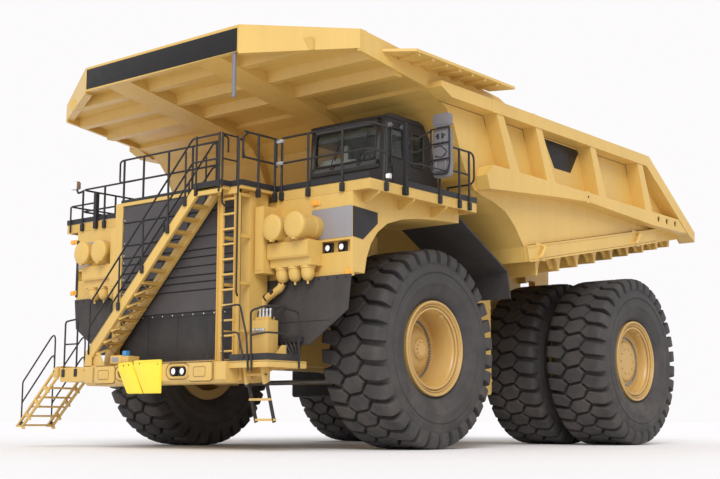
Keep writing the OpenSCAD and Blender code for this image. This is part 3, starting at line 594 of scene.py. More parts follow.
class Repeater:
    """A Geometry Nodes tree that sets one shape on many spots, baked to a plain mesh."""

    def __init__(self) -> None:
        """Builds the tree and its named inputs."""
        self.tree = bpy.data.node_groups.new("repeat_shape", "GeometryNodeTree")
        face = self.tree.interface
        kinds = {"Geometry": "Geometry", "Shape": "Object", "Spin": "Float", "Seed": "Int",
                 "Finish": "Material"}
        self.ids = {name: face.new_socket(name, in_out="INPUT", socket_type="NodeSocket" + kind).identifier
                    for name, kind in kinds.items()}
        face.new_socket("Geometry", in_out="OUTPUT", socket_type="NodeSocketGeometry")
        add = self.tree.nodes.new
        given, last = add("NodeGroupInput"), add("NodeGroupOutput")
        turn, chance = add("GeometryNodeInputNamedAttribute"), add("FunctionNodeRandomValue")
        turn.data_type, chance.data_type = "FLOAT_VECTOR", "FLOAT"
        turn.inputs["Name"].default_value = "turn"
        spin, pair = add("ShaderNodeCombineXYZ"), add("FunctionNodeRotateRotation")
        pair.rotation_space = "LOCAL"
        first, second = add("FunctionNodeEulerToRotation"), add("FunctionNodeEulerToRotation")
        shape, copies = add("GeometryNodeObjectInfo"), add("GeometryNodeInstanceOnPoints")
        real, coat = add("GeometryNodeRealizeInstances"), add("GeometryNodeSetMaterial")
        link = self.tree.links.new
        link(next(s for s in turn.outputs if s.type == "VECTOR"), first.inputs[0])
        link(given.outputs["Spin"], [s for s in chance.inputs if s.type == "VALUE" and s.name == "Max"][0])
        link(given.outputs["Seed"], chance.inputs["Seed"])
        link(next(s for s in chance.outputs if s.type == "VALUE"), spin.inputs["Z"])
        link(spin.outputs[0], second.inputs[0])
        link(first.outputs[0], pair.inputs[0])
        link(second.outputs[0], pair.inputs[1])
        link(given.outputs["Shape"], shape.inputs["Object"])
        link(given.outputs["Geometry"], copies.inputs["Points"])
        link(shape.outputs["Geometry"], copies.inputs["Instance"])
        link(pair.outputs[0], copies.inputs["Rotation"])
        link(copies.outputs[0], real.inputs[0])
        link(real.outputs[0], coat.inputs["Geometry"])
        link(given.outputs["Finish"], coat.inputs["Material"])
        link(coat.outputs[0], last.inputs[0])

    def bake(self, name: str, shape: Form, spots: Sequence[Spot], finish: Finish, body: str,
             spin: float = 0.0, seed: int = 7) -> bpy.types.Object:
        """Sets a shape on each spot and keeps the result as a plain piece.

        Args:
            name: The piece's name.
            shape: The shape, about its own origin.
            spots: A place, measured from the front axle, and Euler turns for each copy.
            finish: The finish of all copies.
            body: The CAD body that the piece rides on.
            spin: The most that a copy turns at random about its own Z.
            seed: The seed of those turns.

        Returns:
            The piece.
        """
        model = bpy.data.objects.new(name + "_shape", shape.mesh(name + "_shape", [finish], 0.0))
        cloud = bpy.data.meshes.new(name + "_spots")
        cloud.from_pydata([(x, y + FA, z) for (x, y, z), _ in spots], [], [])
        angles = cloud.attributes.new("turn", "FLOAT_VECTOR", "POINT")
        angles.data.foreach_set("vector", [c for _, t in spots for c in t])
        host = bpy.data.objects.new(name + "_host", cloud)
        link = bpy.context.scene.collection.objects.link
        link(model)
        mod = host.modifiers.new("repeat", "NODES")
        mod.node_group = self.tree
        for key, value in {"Shape": model, "Spin": spin, "Seed": seed, "Finish": finish.material()}.items():
            mod[self.ids[key]] = value
        link(host)
        graph = bpy.context.evaluated_depsgraph_get()
        baked = bpy.data.meshes.new_from_object(host.evaluated_get(graph), depsgraph=graph)
        baked.name = name
        for spare in (host, model):
            bpy.data.objects.remove(spare, do_unlink=True)
        return settle(bpy.data.objects.new(name, baked), body)


REPEAT = Repeater()


def bolt(radius: float, high: float) -> Form:
    """A hexagon head on its washer, standing along Z."""
    form = Form()
    washer, rise = radius * 1.35, high * 0.18
    form.lathe([(0, 0), (washer, 0), (washer, rise), (0, rise)], ORIGIN, "Z", 14)
    head = [(0, 0), (radius, 0), (radius, high * 0.85), (radius * 0.85, high), (0, high)]
    form.lathe(head, ORIGIN, "Z", 6)
    return form


def ring_spots(x: float, y: float, z: float, radius: float, count: int, side: float) -> list[Spot]:
    """Spots on a circle about an axle that runs along X, each facing out along it."""
    return [((x, y + radius * math.cos(t), z + radius * math.sin(t)), outward(side)) for t in turns(count)]


@dataclass
class TyreSet:
    """One body's tyres: a ringed carcass each, with shoulder lugs and centre blocks round it."""

    node: str
    body: str
    centres: Sequence[Flat]
    lugs: int = 32
    crown: float = 2.0
    groove: float = 1.885
    carcass: Sequence[Flat] = ((0.811, 0.540), (0.975, 0.540), (1.012, 0.592), (1.08, 0.642), (1.18, 0.688),
                               (1.295, 0.719), (1.305, 0.727), (1.325, 0.728), (1.335, 0.724),
                               (1.45, 0.737), (1.485, 0.737), (1.497, 0.720), (1.515, 0.720), (1.53, 0.738),
                               (1.56, 0.738), (1.575, 0.731), (1.62, 0.724), (1.68, 0.706), (1.735, 0.676),
                               (1.785, 0.636), (1.83, 0.588), (1.862, 0.534), (1.88, 0.47), (1.885, 0.39),
                               (1.885, 0.25))
    shoulder: Sequence[tuple[float, float, float, float, float, float]] = (
        (0.205, 2.0, 0.150, 0.162, 1.865, 0.205), (0.262, 2.0, 0.082, 0.222, 1.865, 0.262),
        (0.330, 2.0, 0.006, 0.288, 1.865, 0.330), (0.45, 1.999, 0.026, 0.304, 1.865, 0.45),
        (0.55, 1.997, 0.042, 0.317, 1.84, 0.53), (0.62, 1.991, 0.052, 0.323, 1.82, 0.56),
        (0.668, 1.976, 0.060, 0.326, 1.80, 0.58), (0.698, 1.946, 0.066, 0.328, 1.77, 0.60),
        (0.716, 1.898, 0.072, 0.328, 1.74, 0.63), (0.727, 1.845, 0.078, 0.328, 1.72, 0.65),
        (0.731, 1.785, 0.084, 0.326, 1.69, 0.67), (0.728, 1.735, 0.092, 0.322, 1.66, 0.685))

    def build(self) -> None:
        """Makes the carcasses, which stand for the CAD tyres, and their lugs."""
        form = Form()
        loop = list(self.carcass) + [(r, -x) for r, x in reversed(self.carcass)]
        for x, y in self.centres:
            form.lathe(loop, (x, y, HUB), "X", 128)
        form.piece(self.node + "_carcass", self.body, TYRE, stands_for=[self.node])
        spots = [((x, y, HUB), (t, 0.0, 0.0)) for x, y in self.centres for t in turns(self.lugs)]
        REPEAT.bake(self.node + "_lugs", self._pitch(), spots, TYRE, self.body)

    def _pitch(self) -> Form:
        """One pitch of the tread about the axle: two shoulder lugs and a centre block."""
        form = Form()
        self._lug(form, 1.0)
        self._lug(form, -1.0)
        self._block(form, [(-0.272, 0.05), (-0.132, 0.186), (0.155, 0.135), (0.272, -0.05),
                           (0.132, -0.186), (-0.155, -0.135)])
        return form

    def _at(self, x: float, arc: float, radius: float) -> Vector:
        """A point of the tread from its place across, its arc at the crown and its radius."""
        t = arc / self.crown
        return Vector((x, radius * math.cos(t), radius * math.sin(t)))

    def _lug(self, form: Form, side: float) -> None:
        """A shoulder lug, lofted from its inner point out and down over the shoulder.

        Args:
            form: The shape that takes it.
            side: 1 for the +X shoulder, -1 for the other.
        """
        rings = []
        for x, top, first, last, foot, foot_x in self.shoulder:
            soft = min(0.014, (last - first) * 0.3)
            rows = [(first - 0.012, foot, foot_x), (first, top - 0.014, x), (first + soft, top, x),
                    (last - soft, top, x), (last, top - 0.014, x), (last + 0.012, foot, foot_x)]
            rings.append([form.bm.verts.new(self._at(side * across, side * s, r)) for s, r, across in rows])
        form.loft(rings)

    def _block(self, form: Form, outline: Sequence[Flat]) -> None:
        """A centre block over its outline.

        Args:
            form: The shape that takes it.
            outline: Points across the tread and along its arc.
        """
        layers = [(1.1, self.groove - 0.02), (1.0, self.crown - 0.014), (0.94, self.crown)]
        form.loft([[form.bm.verts.new(self._at(x * g, s * g, r)) for x, s in outline] for g, r in layers])


@dataclass
class RimTrim:
    """One wheel end: its bolt circles, lock ring and valve."""

    name: str
    body: str
    side: float
    y: float
    flange_x: float
    disc_x: float
    bolt_r: float
    bolts: int
    cap_x: float
    cap_r: float

    def build(self) -> None:
        """Sets the bolts and turns the rings."""
        s = self.side
        spots = ring_spots(s * self.disc_x, self.y, HUB, self.bolt_r, self.bolts, s)
        REPEAT.bake(self.name + "_bolts", bolt(0.021, 0.045), spots, STEEL, self.body, 1.0)
        cap = ring_spots(s * self.cap_x, self.y, HUB, self.cap_r, 10, s)
        REPEAT.bake(self.name + "_cap_bolts", bolt(0.016, 0.03), cap, RIM_PAINT, self.body, 1.0)
        form = Form()
        f = self.flange_x
        for r, out, thick in ((0.932, 0.004, 0.028), (0.862, -0.012, 0.012), (0.800, -0.04, 0.026)):
            bead = [(r + thick * math.cos(t), s * (f + out + thick * math.sin(t))) for t in turns(12)]
            form.lathe(bead, (0, self.y, HUB), "X", 96)
        valve = [(0.03, 0.30, 0.68), (0.02, 0.29, 0.64), (0.16, 0.28, 0.66)]
        form.tube(bend([(s * (f - a), self.y + b, HUB + c) for a, b, c in valve], 0.03), 0.011, 8)
        form.piece(self.name + "_rings", self.body, RIM_PAINT)


@dataclass
class RailRun:
    """A run of handrail: its plan, its posts and the brackets that hold them to the fascia."""

    plan: Sequence[Flat]
    posts: Sequence[Flat]
    base: float = DECK
    high: float = 1.06
    levels: Sequence[float] = (1.04, 0.54)
    bracketed: bool = True

    def add(self, form: Form) -> None:
        """Adds the run's rails, posts and brackets.

        Args:
            form: The shape that takes them.
        """
        for level in self.levels:
            form.tube(bend([(x, y, self.base + level) for x, y in self.plan], 0.12), 0.021)
        for x, y in self.posts:
            form.tube([(x, y, self.base - 0.19), (x, y, self.base + self.high - 0.02)], 0.024)
            if self.bracketed:
                form.box((x - 0.042, y - 0.036, self.base - 0.19), (x + 0.042, y + 0.036, self.base - 0.03),
                         0.008)


@dataclass
class Handrails:
    """The upper deck's black rails, kick plates and light posts."""

    edge_x: float = 4.475
    front_y: float = -2.83
    right_x: float = 3.87
    centre_x: float = 2.145
    kick: float = DECK + 0.11

    def build(self) -> None:
        """Makes the rails, which stand for the CAD rails, and the kick plates."""
        e, f, r, c = self.edge_x, self.front_y, self.right_x, self.centre_x
        runs = [
            RailRun([(2.28, f), (e, f), (e, -2.33)], [(2.28, f), (2.97, f), (3.82, f), (e, -2.33)]),
            RailRun([(e, -0.64), (e, 0.42)], [(e, -0.62), (e, 0.05), (e, 0.40)], levels=(0.54,)),
            RailRun([(c, -3.72), (c, -2.86)], [(c, -3.34), (c, -2.88)]),
            RailRun([(-2.08, f), (-r, f), (-r, 0.12), (-2.9, 0.12)],
                    [(-2.45, f), (-3.1, f), (-r, f), (-r, -1.9), (-r, -0.9), (-r, 0.0), (-2.92, 0.12)],
                    high=0.77, levels=(0.75, 0.25)),
            RailRun([(1.0, -3.3), (-1.93, -3.3)], [(x, -3.3) for x in (0.95, 0.25, -0.47, -1.25, -1.88)],
                    base=5.30, high=0.79, levels=(0.77, 0.29), bracketed=False)]
        form = Form()
        for run in runs:
            run.add(form)
        form.tube(bend([(c, -3.70, 5.50), (c, -3.76, 5.62), (c, -3.76, 5.9), (c, -3.62, 6.02)], 0.06), 0.021)
        form.tube([(e, -2.33, 5.2), (e, -2.33, 6.10)], 0.018)
        form.tube(bend([(e, -0.64, 6.0), (e, 0.58, 6.0), (e, 0.58, 5.36), (3.80, 0.58, 5.36)], 0.16), 0.021)
        form.tube([(3.82, 0.58, DECK), (3.82, 0.58, 5.37)], 0.024)
        form.tube(bend([(-r, f, 5.70), (-4.06, f, 5.68), (-4.12, f, 5.80)], 0.04), 0.024)
        form.box((-3.44, f - 0.045, 4.80), (-3.34, f + 0.045, 5.62), 0.012)
        form.tube(bend([(-3.40, f, 5.39), (-4.30, f, 5.39), (-4.30, -1.1, 5.39),
                        (-4.30, -1.1, DECK - 0.03)], 0.06), 0.02)
        form.tube([(-4.30, f, 4.79), (-4.30, f, 5.38)], 0.02)
        form.tube(bend([(-1.93, -3.3, 6.07), (-2.02, -3.3, 6.04), (-2.02, -3.3, 5.62), (-1.93, -3.3, 5.59)],
                       0.05), 0.02)
        for x in (c, 2.30):
            form.tube([(x, -2.84, 5.45), (x, -2.84, 6.02)], 0.021)
        for z in (5.52, 5.96):
            form.use(1).box((2.12, -2.875, z - 0.035), (2.33, -2.805, z + 0.035), 0.01)
        form.use(0)
        kicks = [((2.13, -2.815, DECK), (4.45, -2.80, self.kick)),
                 ((4.45, -1.65, DECK), (4.465, 0.70, self.kick)),
                 ((2.12, -3.75, DECK), (2.135, -2.80, self.kick)),
                 ((-4.465, -2.80, DECK), (-4.45, 0.70, self.kick)),
                 ((-4.45, -2.815, DECK), (-2.04, -2.80, self.kick)),
                 ((1.82, -3.765, DECK), (2.135, -3.75, self.kick)),
                 ((-1.90, -3.345, 5.10), (1.0, -3.33, 5.19))]
        for low, high in kicks:
            form.box(low, high, 0.003)
        form.piece("deck_handrails", "chassis", BLACK, ZINC, stands_for=["handrails"])
        lamp = Form()
        self._work_lamp(lamp, (-4.15, -2.86, 5.86), 1.2)
        self._work_lamp(lamp, (4.51, -2.31, 5.07), 0.6)
        lamp.piece("work_lamps", "chassis", ZINC, LENS)

    def _work_lamp(self, form: Form, at: Point, size: float) -> None:
        """A square work lamp with a finned back, facing forward.

        Args:
            form: The shape that takes it.
            at: Its middle.
            size: Its scale, where 1 is 180 mm wide.
        """
        x, y, z = at
        w, h = 0.09 * size, 0.08 * size
        form.use(0).box((x - w, y - 0.03, z - h), (x + w, y + 0.06 * size, z + h), 0.018 * size)
        for k in range(4):
            fin = x + (-0.07 + 0.04 * k) * size
            low = (fin, y + 0.06 * size, z - h * 0.75)
            form.box(low, (fin + 0.02 * size, y + 0.085 * size, z + h * 0.75), 0.003)
        form.use(1).box((x - w * 0.82, y - 0.042, z - h * 0.8), (x + w * 0.82, y - 0.026, z + h * 0.8),
                        0.006)


@dataclass
class Stair:
    """The diagonal stair over the radiator: channel strings, open treads, lattice and black rails."""

    foot: Flat = (-1.95, 1.90)
    head: Flat = (1.08, 4.95)
    front: float = -4.0
    back: float = -3.5
    treads: int = 12

    def along(self, t: float) -> Flat:
        """A point of the pitch line, from 0 at the foot to 1 at the head."""
        return (self.foot[0] + (self.head[0] - self.foot[0]) * t,
                self.foot[1] + (self.head[1] - self.foot[1]) * t)

    def build(self) -> None:
        """Makes the frame and its rails, which stand for the CAD stair, and its treads."""
        form = Form()
        outline = [(-2.13, 1.65), (-1.88, 1.65), (-1.89, 1.82), (1.18, 4.87), (1.18, DECK), (1.01, DECK),
                   (-2.08, 1.96)]
        for y in (self.front, self.back):
            form.prism("Y", y, y + 0.016, outline, 0.004)
            form.beam((-2.06, y + 0.03, 1.955), (1.0, y + 0.03, 4.965), 0.06, 0.014, (-0.7, 0, 0.7))
            form.beam((-1.88, y + 0.03, 1.835), (1.16, y + 0.03, 4.86), 0.06, 0.014, (-0.7, 0, 0.7))
            form.box((-2.13, y, 1.65), (-1.86, y + 0.06, 1.668), 0.003)
        form.box((-2.16, self.front, 1.60), (-1.62, self.back + 0.02, 1.66), 0.006)
        form.prism("Y", -3.95, -3.93, [(-2.10, 1.62), (-1.50, 1.62), (-1.72, 1.94), (-2.06, 1.94)], 0.004)
        self._lattice(form)
        form.box((1.06, self.front, DECK - 0.06), (1.80, -3.4, DECK - 0.035), 0.004)
        for k in range(9):
            y = self.front + 0.066 * k
            form.box((1.06, y, DECK - 0.04), (1.80, y + 0.03, DECK), 0.003)
        for y in (self.front, -3.43):
            form.box((1.06, y, DECK - 0.14), (1.80, y + 0.03, DECK), 0.004)
        form.use(1)
        self._rails(form)
        form.piece("stair_frame", "chassis", PAINT, BLACK, stands_for=["diagonal_stair", "stair_rails"])
        spots = [(self._tread_at(i), UPRIGHT) for i in range(1, self.treads + 1)]
        REPEAT.bake("stair_treads", self._tread(), spots, PAINT, "chassis")

    def _tread_at(self, i: int) -> Point:
        """The middle of a tread, counted from the foot."""
        x, z = self.along(i / (self.treads + 1))
        return (x, (self.front + self.back) / 2 + 0.03, z)

    def _tread(self) -> Form:
        """One open tread: nosing, back bar and bearing slats."""
        form = Form()
        half = (self.back - self.front) / 2 - 0.016
        for x0, x1 in ((-0.13, -0.10), (0.085, 0.11)):
            form.box((x0, -half, -0.035), (x1, half, 0.02), 0.004)
        for x in (-0.085, -0.045, -0.005, 0.035):
            form.box((x, -half, -0.012), (x + 0.026, half, 0.018), 0.003)
        for y in (-half, half - 0.012):
            form.box((-0.13, y, -0.04), (0.11, y + 0.012, 0.02), 0.003)
        return form

    def _lattice(self, form: Form) -> None:
        """Crossed flat bars between the strings under the lower flight."""
        bays = 6
        for k in range(bays):
            (x0, z0), (x1, z1) = self.along(0.03 + 0.075 * k), self.along(0.03 + 0.075 * (k + 1))
            low, high = (self.front + 0.02, self.back + 0.02)
            for a, b in ((low, high), (high, low)):
                form.beam((x0 + 0.09, a, z0 - 0.09), (x1 + 0.09, b, z1 - 0.09), 0.012, 0.055, (0.7, 0, -0.7))
            form.beam((x1 + 0.09, low, z1 - 0.09), (x1 + 0.09, high, z1 - 0.09), 0.012, 0.05, (0.7, 0, -0.7))

    def _rails(self, form: Form) -> None:
        """Two rails on each side, their posts and feet, and the landing's cage."""
        top = self.head[1]
        for y in (self.front - 0.012, self.back + 0.03):
            ahead = 1.76 if y < -3.9 else 1.10
            for level in (1.03, 0.55):
                form.tube(bend([(-1.98, y, 1.90), (-1.98, y, 1.92 + level), (1.02, y, top + level),
                                (ahead, y, top + level)], 0.14), 0.019)
            for t in (0.30, 0.53, 0.77, 0.93):
                x, z = self.along(t)
                form.tube([(x - 0.04, y, z - 0.02), (x - 0.04, y, z + 1.02)], 0.019)
                form.box((x - 0.08, y - 0.028, z - 0.06), (x, y + 0.028, z + 0.10), 0.008)
        y = self.front - 0.012
        for x in (1.13, 1.76):
            form.tube([(x, y, DECK - 0.12), (x, y, DECK + 1.03)], 0.021)
        for y in (-3.97, -3.58):
            form.tube([(1.81, y, DECK - 0.02), (1.81, y, DECK + 1.03)], 0.019)
        for level in (1.0, 0.52):
            form.tube([(1.81, -3.99, DECK + level), (1.81, -3.56, DECK + level)], 0.017)
        form.box((1.80, -4.0, DECK), (1.812, -3.56, DECK + 0.11), 0.003)
        form.box((1.06, -4.012, DECK), (1.80, -4.0, DECK + 0.11), 0.003)


@dataclass
class CentreLadder:
    """The upright ladder beside the stair, with its long hooked grab rails."""

    inner: Flat = (1.47, 1.61)
    outer: Flat = (1.92, 2.05)
    low: float = 1.65
    high: float = 4.92

    def build(self) -> None:
        """Makes the stiles and grabs, which stand for the CAD ladder, and the rungs."""
        form = Form()
        for x0, x1 in (self.inner, self.outer):
            form.box((x0, -3.70, self.low), (x1, -3.685, self.high), 0.004)
            for x in (x0, x1 - 0.012):
                form.box((x, -3.75, self.low), (x + 0.012, -3.685, self.high), 0.003)
            for z in (2.2, 3.1, 4.0, 4.8):
                form.box((x0 + 0.03, -3.69, z), (x1 - 0.03, -3.40, z + 0.06), 0.006)
        form.box((self.inner[0], -3.76, 4.84), (self.outer[1], -3.68, 4.92), 0.006)
        form.use(1)
        left = [(1.60, -3.62, 5.70), (1.60, -3.62, 6.0), (1.68, -3.86, 6.0), (1.70, -3.86, 4.66),
                (1.70, -3.74, 4.60)]
        right = [(2.10, -3.72, 5.50), (2.10, -3.72, 5.86), (2.14, -3.87, 5.86), (2.14, -3.87, 5.0),
                 (2.10, -3.84, 4.7), (2.10, -3.84, 2.92), (2.03, -3.74, 2.88)]
        for path in (left, right):
            form.tube(bend(path, 0.07), 0.019)
        form.piece("centre_ladder_frame", "chassis", PAINT, BLACK, stands_for=["centre_ladder"])
        rung = Form()
        half = (self.outer[0] - self.inner[1]) / 2 + 0.02
        rung.prism("X", -half, half, [(-0.03, -0.016), (0.03, -0.016), (0.036, 0.0), (0.03, 0.016),
                                      (-0.03, 0.016), (-0.036, 0.0)], 0.003)
        for k in range(7):
            x = -half + 0.05 + k * (2 * half - 0.1) / 6
            rung.box((x - 0.01, -0.03, 0.014), (x + 0.01, 0.03, 0.02), 0.002)
        middle = (self.inner[1] + self.outer[0]) / 2
        spots = [((middle, -3.72, 4.75 - 0.29 * k), UPRIGHT) for k in range(11)]
        REPEAT.bake("centre_ladder_rungs", rung, spots, PAINT, "chassis")


@dataclass
class LowerPlatform:
    """The bumper's left platform: kick plates, hoops, the hanging step and the service point."""

    right: float = 2.05
    left: float = 3.03
    rail_y: float = -3.975

    def build(self) -> None:
        """Makes the platform, which stands for the CAD one, and the service point."""
        form = Form()
        form.box((self.right, -3.95, 1.615), (self.left, -2.90, 1.65), 0.004)
        form.box((self.right, -3.95, 1.52), (self.left, -3.93, 1.63), 0.004)
        form.box((self.left - 0.02, -3.93, 1.52), (self.left, -2.90, 1.63), 0.004)
        form.box((self.right, -2.92, 1.52), (self.left - 0.02, -2.90, 1.63), 0.004)
        form.prism("Y", -3.45, -3.42, [(2.05, 1.30), (2.14, 1.30), (2.9, 1.56), (2.9, 1.62), (2.05, 1.62)],
                   0.004)
        form.box((2.05, -3.70, 1.30), (2.12, -3.10, 1.62), 0.006)
        for x in (2.23, 2.69):
            form.prism("X", x - 0.03, x + 0.03,
                       [(-3.75, 1.54), (-3.58, 1.54), (-3.56, 1.27), (-3.68, 1.22)], 0.006)
        for y, z in ((-3.66, 1.40), (-3.53, 0.95), (-3.40, 0.58)):
            form.prism("X", 2.20, 2.72, [(y - 0.035, z - 0.022), (y + 0.035, z - 0.022),
                                         (y + 0.035, z + 0.022), (y - 0.035, z + 0.022)], 0.006)
        form.prism("Y", -3.24, -3.20, [(2.42, 1.65), (2.80, 1.65), (2.80, 1.95), (2.70, 1.95)], 0.006)
        form.use(1)
        form.box((self.right + 0.02, -3.962, 1.65), (self.left, -3.95, 1.77), 0.003)
        form.box((self.left, -3.962, 1.65), (self.left + 0.012, -3.1, 1.77), 0.003)
        y, x = self.rail_y, self.left + 0.015
        hoops = [[(1.92, y, 1.42), (1.89, y, 2.66), (2.34, y, 2.68), (2.52, y, 2.1), (2.57, y, 1.45)],
                 [(1.90, y, 2.17), (2.30, y, 2.17), (2.44, y, 1.7)],
                 [(2.66, y, 1.45), (2.62, y, 2.55), (3.0, y, 2.62), (x, -3.60, 2.62), (x, -3.15, 2.55),
                  (x, -3.12, 1.5)],
                 [(2.64, y, 2.1), (3.0, y, 2.14), (x, -3.60, 2.14), (x, -3.13, 2.1)]]
        for path in hoops:
            form.tube(bend(path, 0.1), 0.019)
        for x in (2.23, 2.69):
            form.beam((x, -3.62, 1.30), (x, -3.39, 0.53), 0.016, 0.085, (0, 1, 0.3))
        form.piece("lower_platform_frame", "chassis", PAINT, BLACK, stands_for=["lower_platform"])
        self._service()

    def _service(self) -> None:
        """The filling point: a tank on its foot, a manifold and bright couplings."""
        form = Form()
        form.box((2.04, -3.36, 1.65), (2.46, -3.06, 2.44), 0.03)
        form.box((2.02, -3.38, 1.65), (2.48, -3.04, 1.70), 0.006)
        form.box((2.08, -3.30, 2.44), (2.42, -3.12, 2.50), 0.01)
        form.use(1)
        for k in range(4):
            x = 2.12 + 0.09 * k
            form.lathe([(0, 0), (0.034, 0), (0.034, 0.05), (0.026, 0.055), (0.026, 0.11), (0.032, 0.115),
                        (0.032, 0.16), (0, 0.165)], (x, -3.21, 2.50), "Z", 14)
        form.box((2.10, -3.40, 2.20), (2.40, -3.36, 2.28), 0.008)
        for k in range(3):
            form.lathe([(0, 0), (0.03, 0), (0.03, -0.05), (0.022, -0.055), (0.022, -0.08), (0, -0.082)],
                       (2.15 + 0.1 * k, -3.40, 2.24), "Y", 12)
        form.use(2)
        for x in (2.07, 2.44):
            form.tube(bend([(x, -3.21, 2.46), (x, -3.21, 2.62), (x, -3.0, 2.70), (x, -2.86, 2.70)], 0.07),
                      0.018)
        form.piece("service_point", "chassis", PAINT, ZINC, BLACK)


class BoardingLadder:
    """The hinged boarding stair at the right front: pierced strings, plate treads and rails."""

    def build(self) -> None:
        """Makes the strings and rails, which stand for the CAD ladder, and the treads."""
        form = Form()
        for y in (-4.015, -3.235):
            form.beam((-3.10, y + 0.025, 1.605), (-4.345, y + 0.025, 0.445), 0.05, 0.045, (-0.7, 0, 0.7))
            form.beam((-3.00, y + 0.025, 1.475), (-4.165, y + 0.025, 0.445), 0.05, 0.045, (-0.7, 0, 0.7))
            for t in (0.06, 0.30, 0.55, 0.80, 0.97):
                x, z = -3.10 - 1.215 * t, 1.59 - 1.13 * t
                form.prism("Y", y + 0.006, y + 0.044, [(x - 0.04, z + 0.02), (x + 0.13, z - 0.12),
                                                       (x + 0.20, z - 0.10), (x + 0.07, z + 0.04)], 0.004)
            form.prism("Y", y, y + 0.05, [(-3.16, 1.48), (-3.12, 1.66), (-2.985, 1.66), (-2.985, 1.46)],
                       0.008)
            form.box((-4.375, y, 0.42), (-4.13, y + 0.05, 0.46), 0.006)
        for y0, y1 in ((-3.97, -3.86), (-3.34, -3.23)):
            form.lathe([(0, y0), (0.04, y0), (0.04, y1), (0, y1)], (-3.05, 0, 1.58), "Y", 20)
        form.use(1)
        for y in (-3.99, -3.21):
            for level in (0.90, 0.46):
                form.tube(bend([(-4.22, y, 0.50), (-4.22, y, 0.48 + level), (-3.13, y, 1.54 + level),
                                (-3.13, y, 1.56)], 0.1), 0.017)
            form.box((-4.27, y - 0.024, 0.46), (-4.17, y + 0.024, 0.53), 0.008)
        form.piece("boarding_ladder_frame", "boarding_ladder", PAINT, BLACK, stands_for=["boarding_ladder"])
        tread = Form()
        tread.box((-0.12, -0.365, -0.02), (0.08, 0.365, 0.012), 0.004)
        for k in range(9):
            tread.box((-0.11, -0.34 + 0.08 * k, 0.01), (0.07, -0.31 + 0.08 * k, 0.02), 0.003)
        spots = [((-3.16 - 1.08 * i / 5.2, -3.60, 1.44 - 1.02 * i / 5.2), UPRIGHT) for i in range(1, 6)]
        REPEAT.bake("boarding_ladder_treads", tread, spots, PAINT, "boarding_ladder")
        posts = Form()
        inner, outer, y = -2.45, -2.86, -3.945
        for x in (outer, inner):
            posts.box((x - 0.05, y - 0.03, 1.46), (x + 0.05, y + 0.015, 1.62), 0.01)
        posts.tube(bend([(outer, y, 1.5), (outer, y, 2.62), (inner, y, 2.66), (inner, y, 1.5)], 0.08), 0.019)
        posts.tube([(outer, y, 2.14), (inner, y, 2.14)], 0.017)
        posts.piece("boarding_posts", "chassis", BLACK)


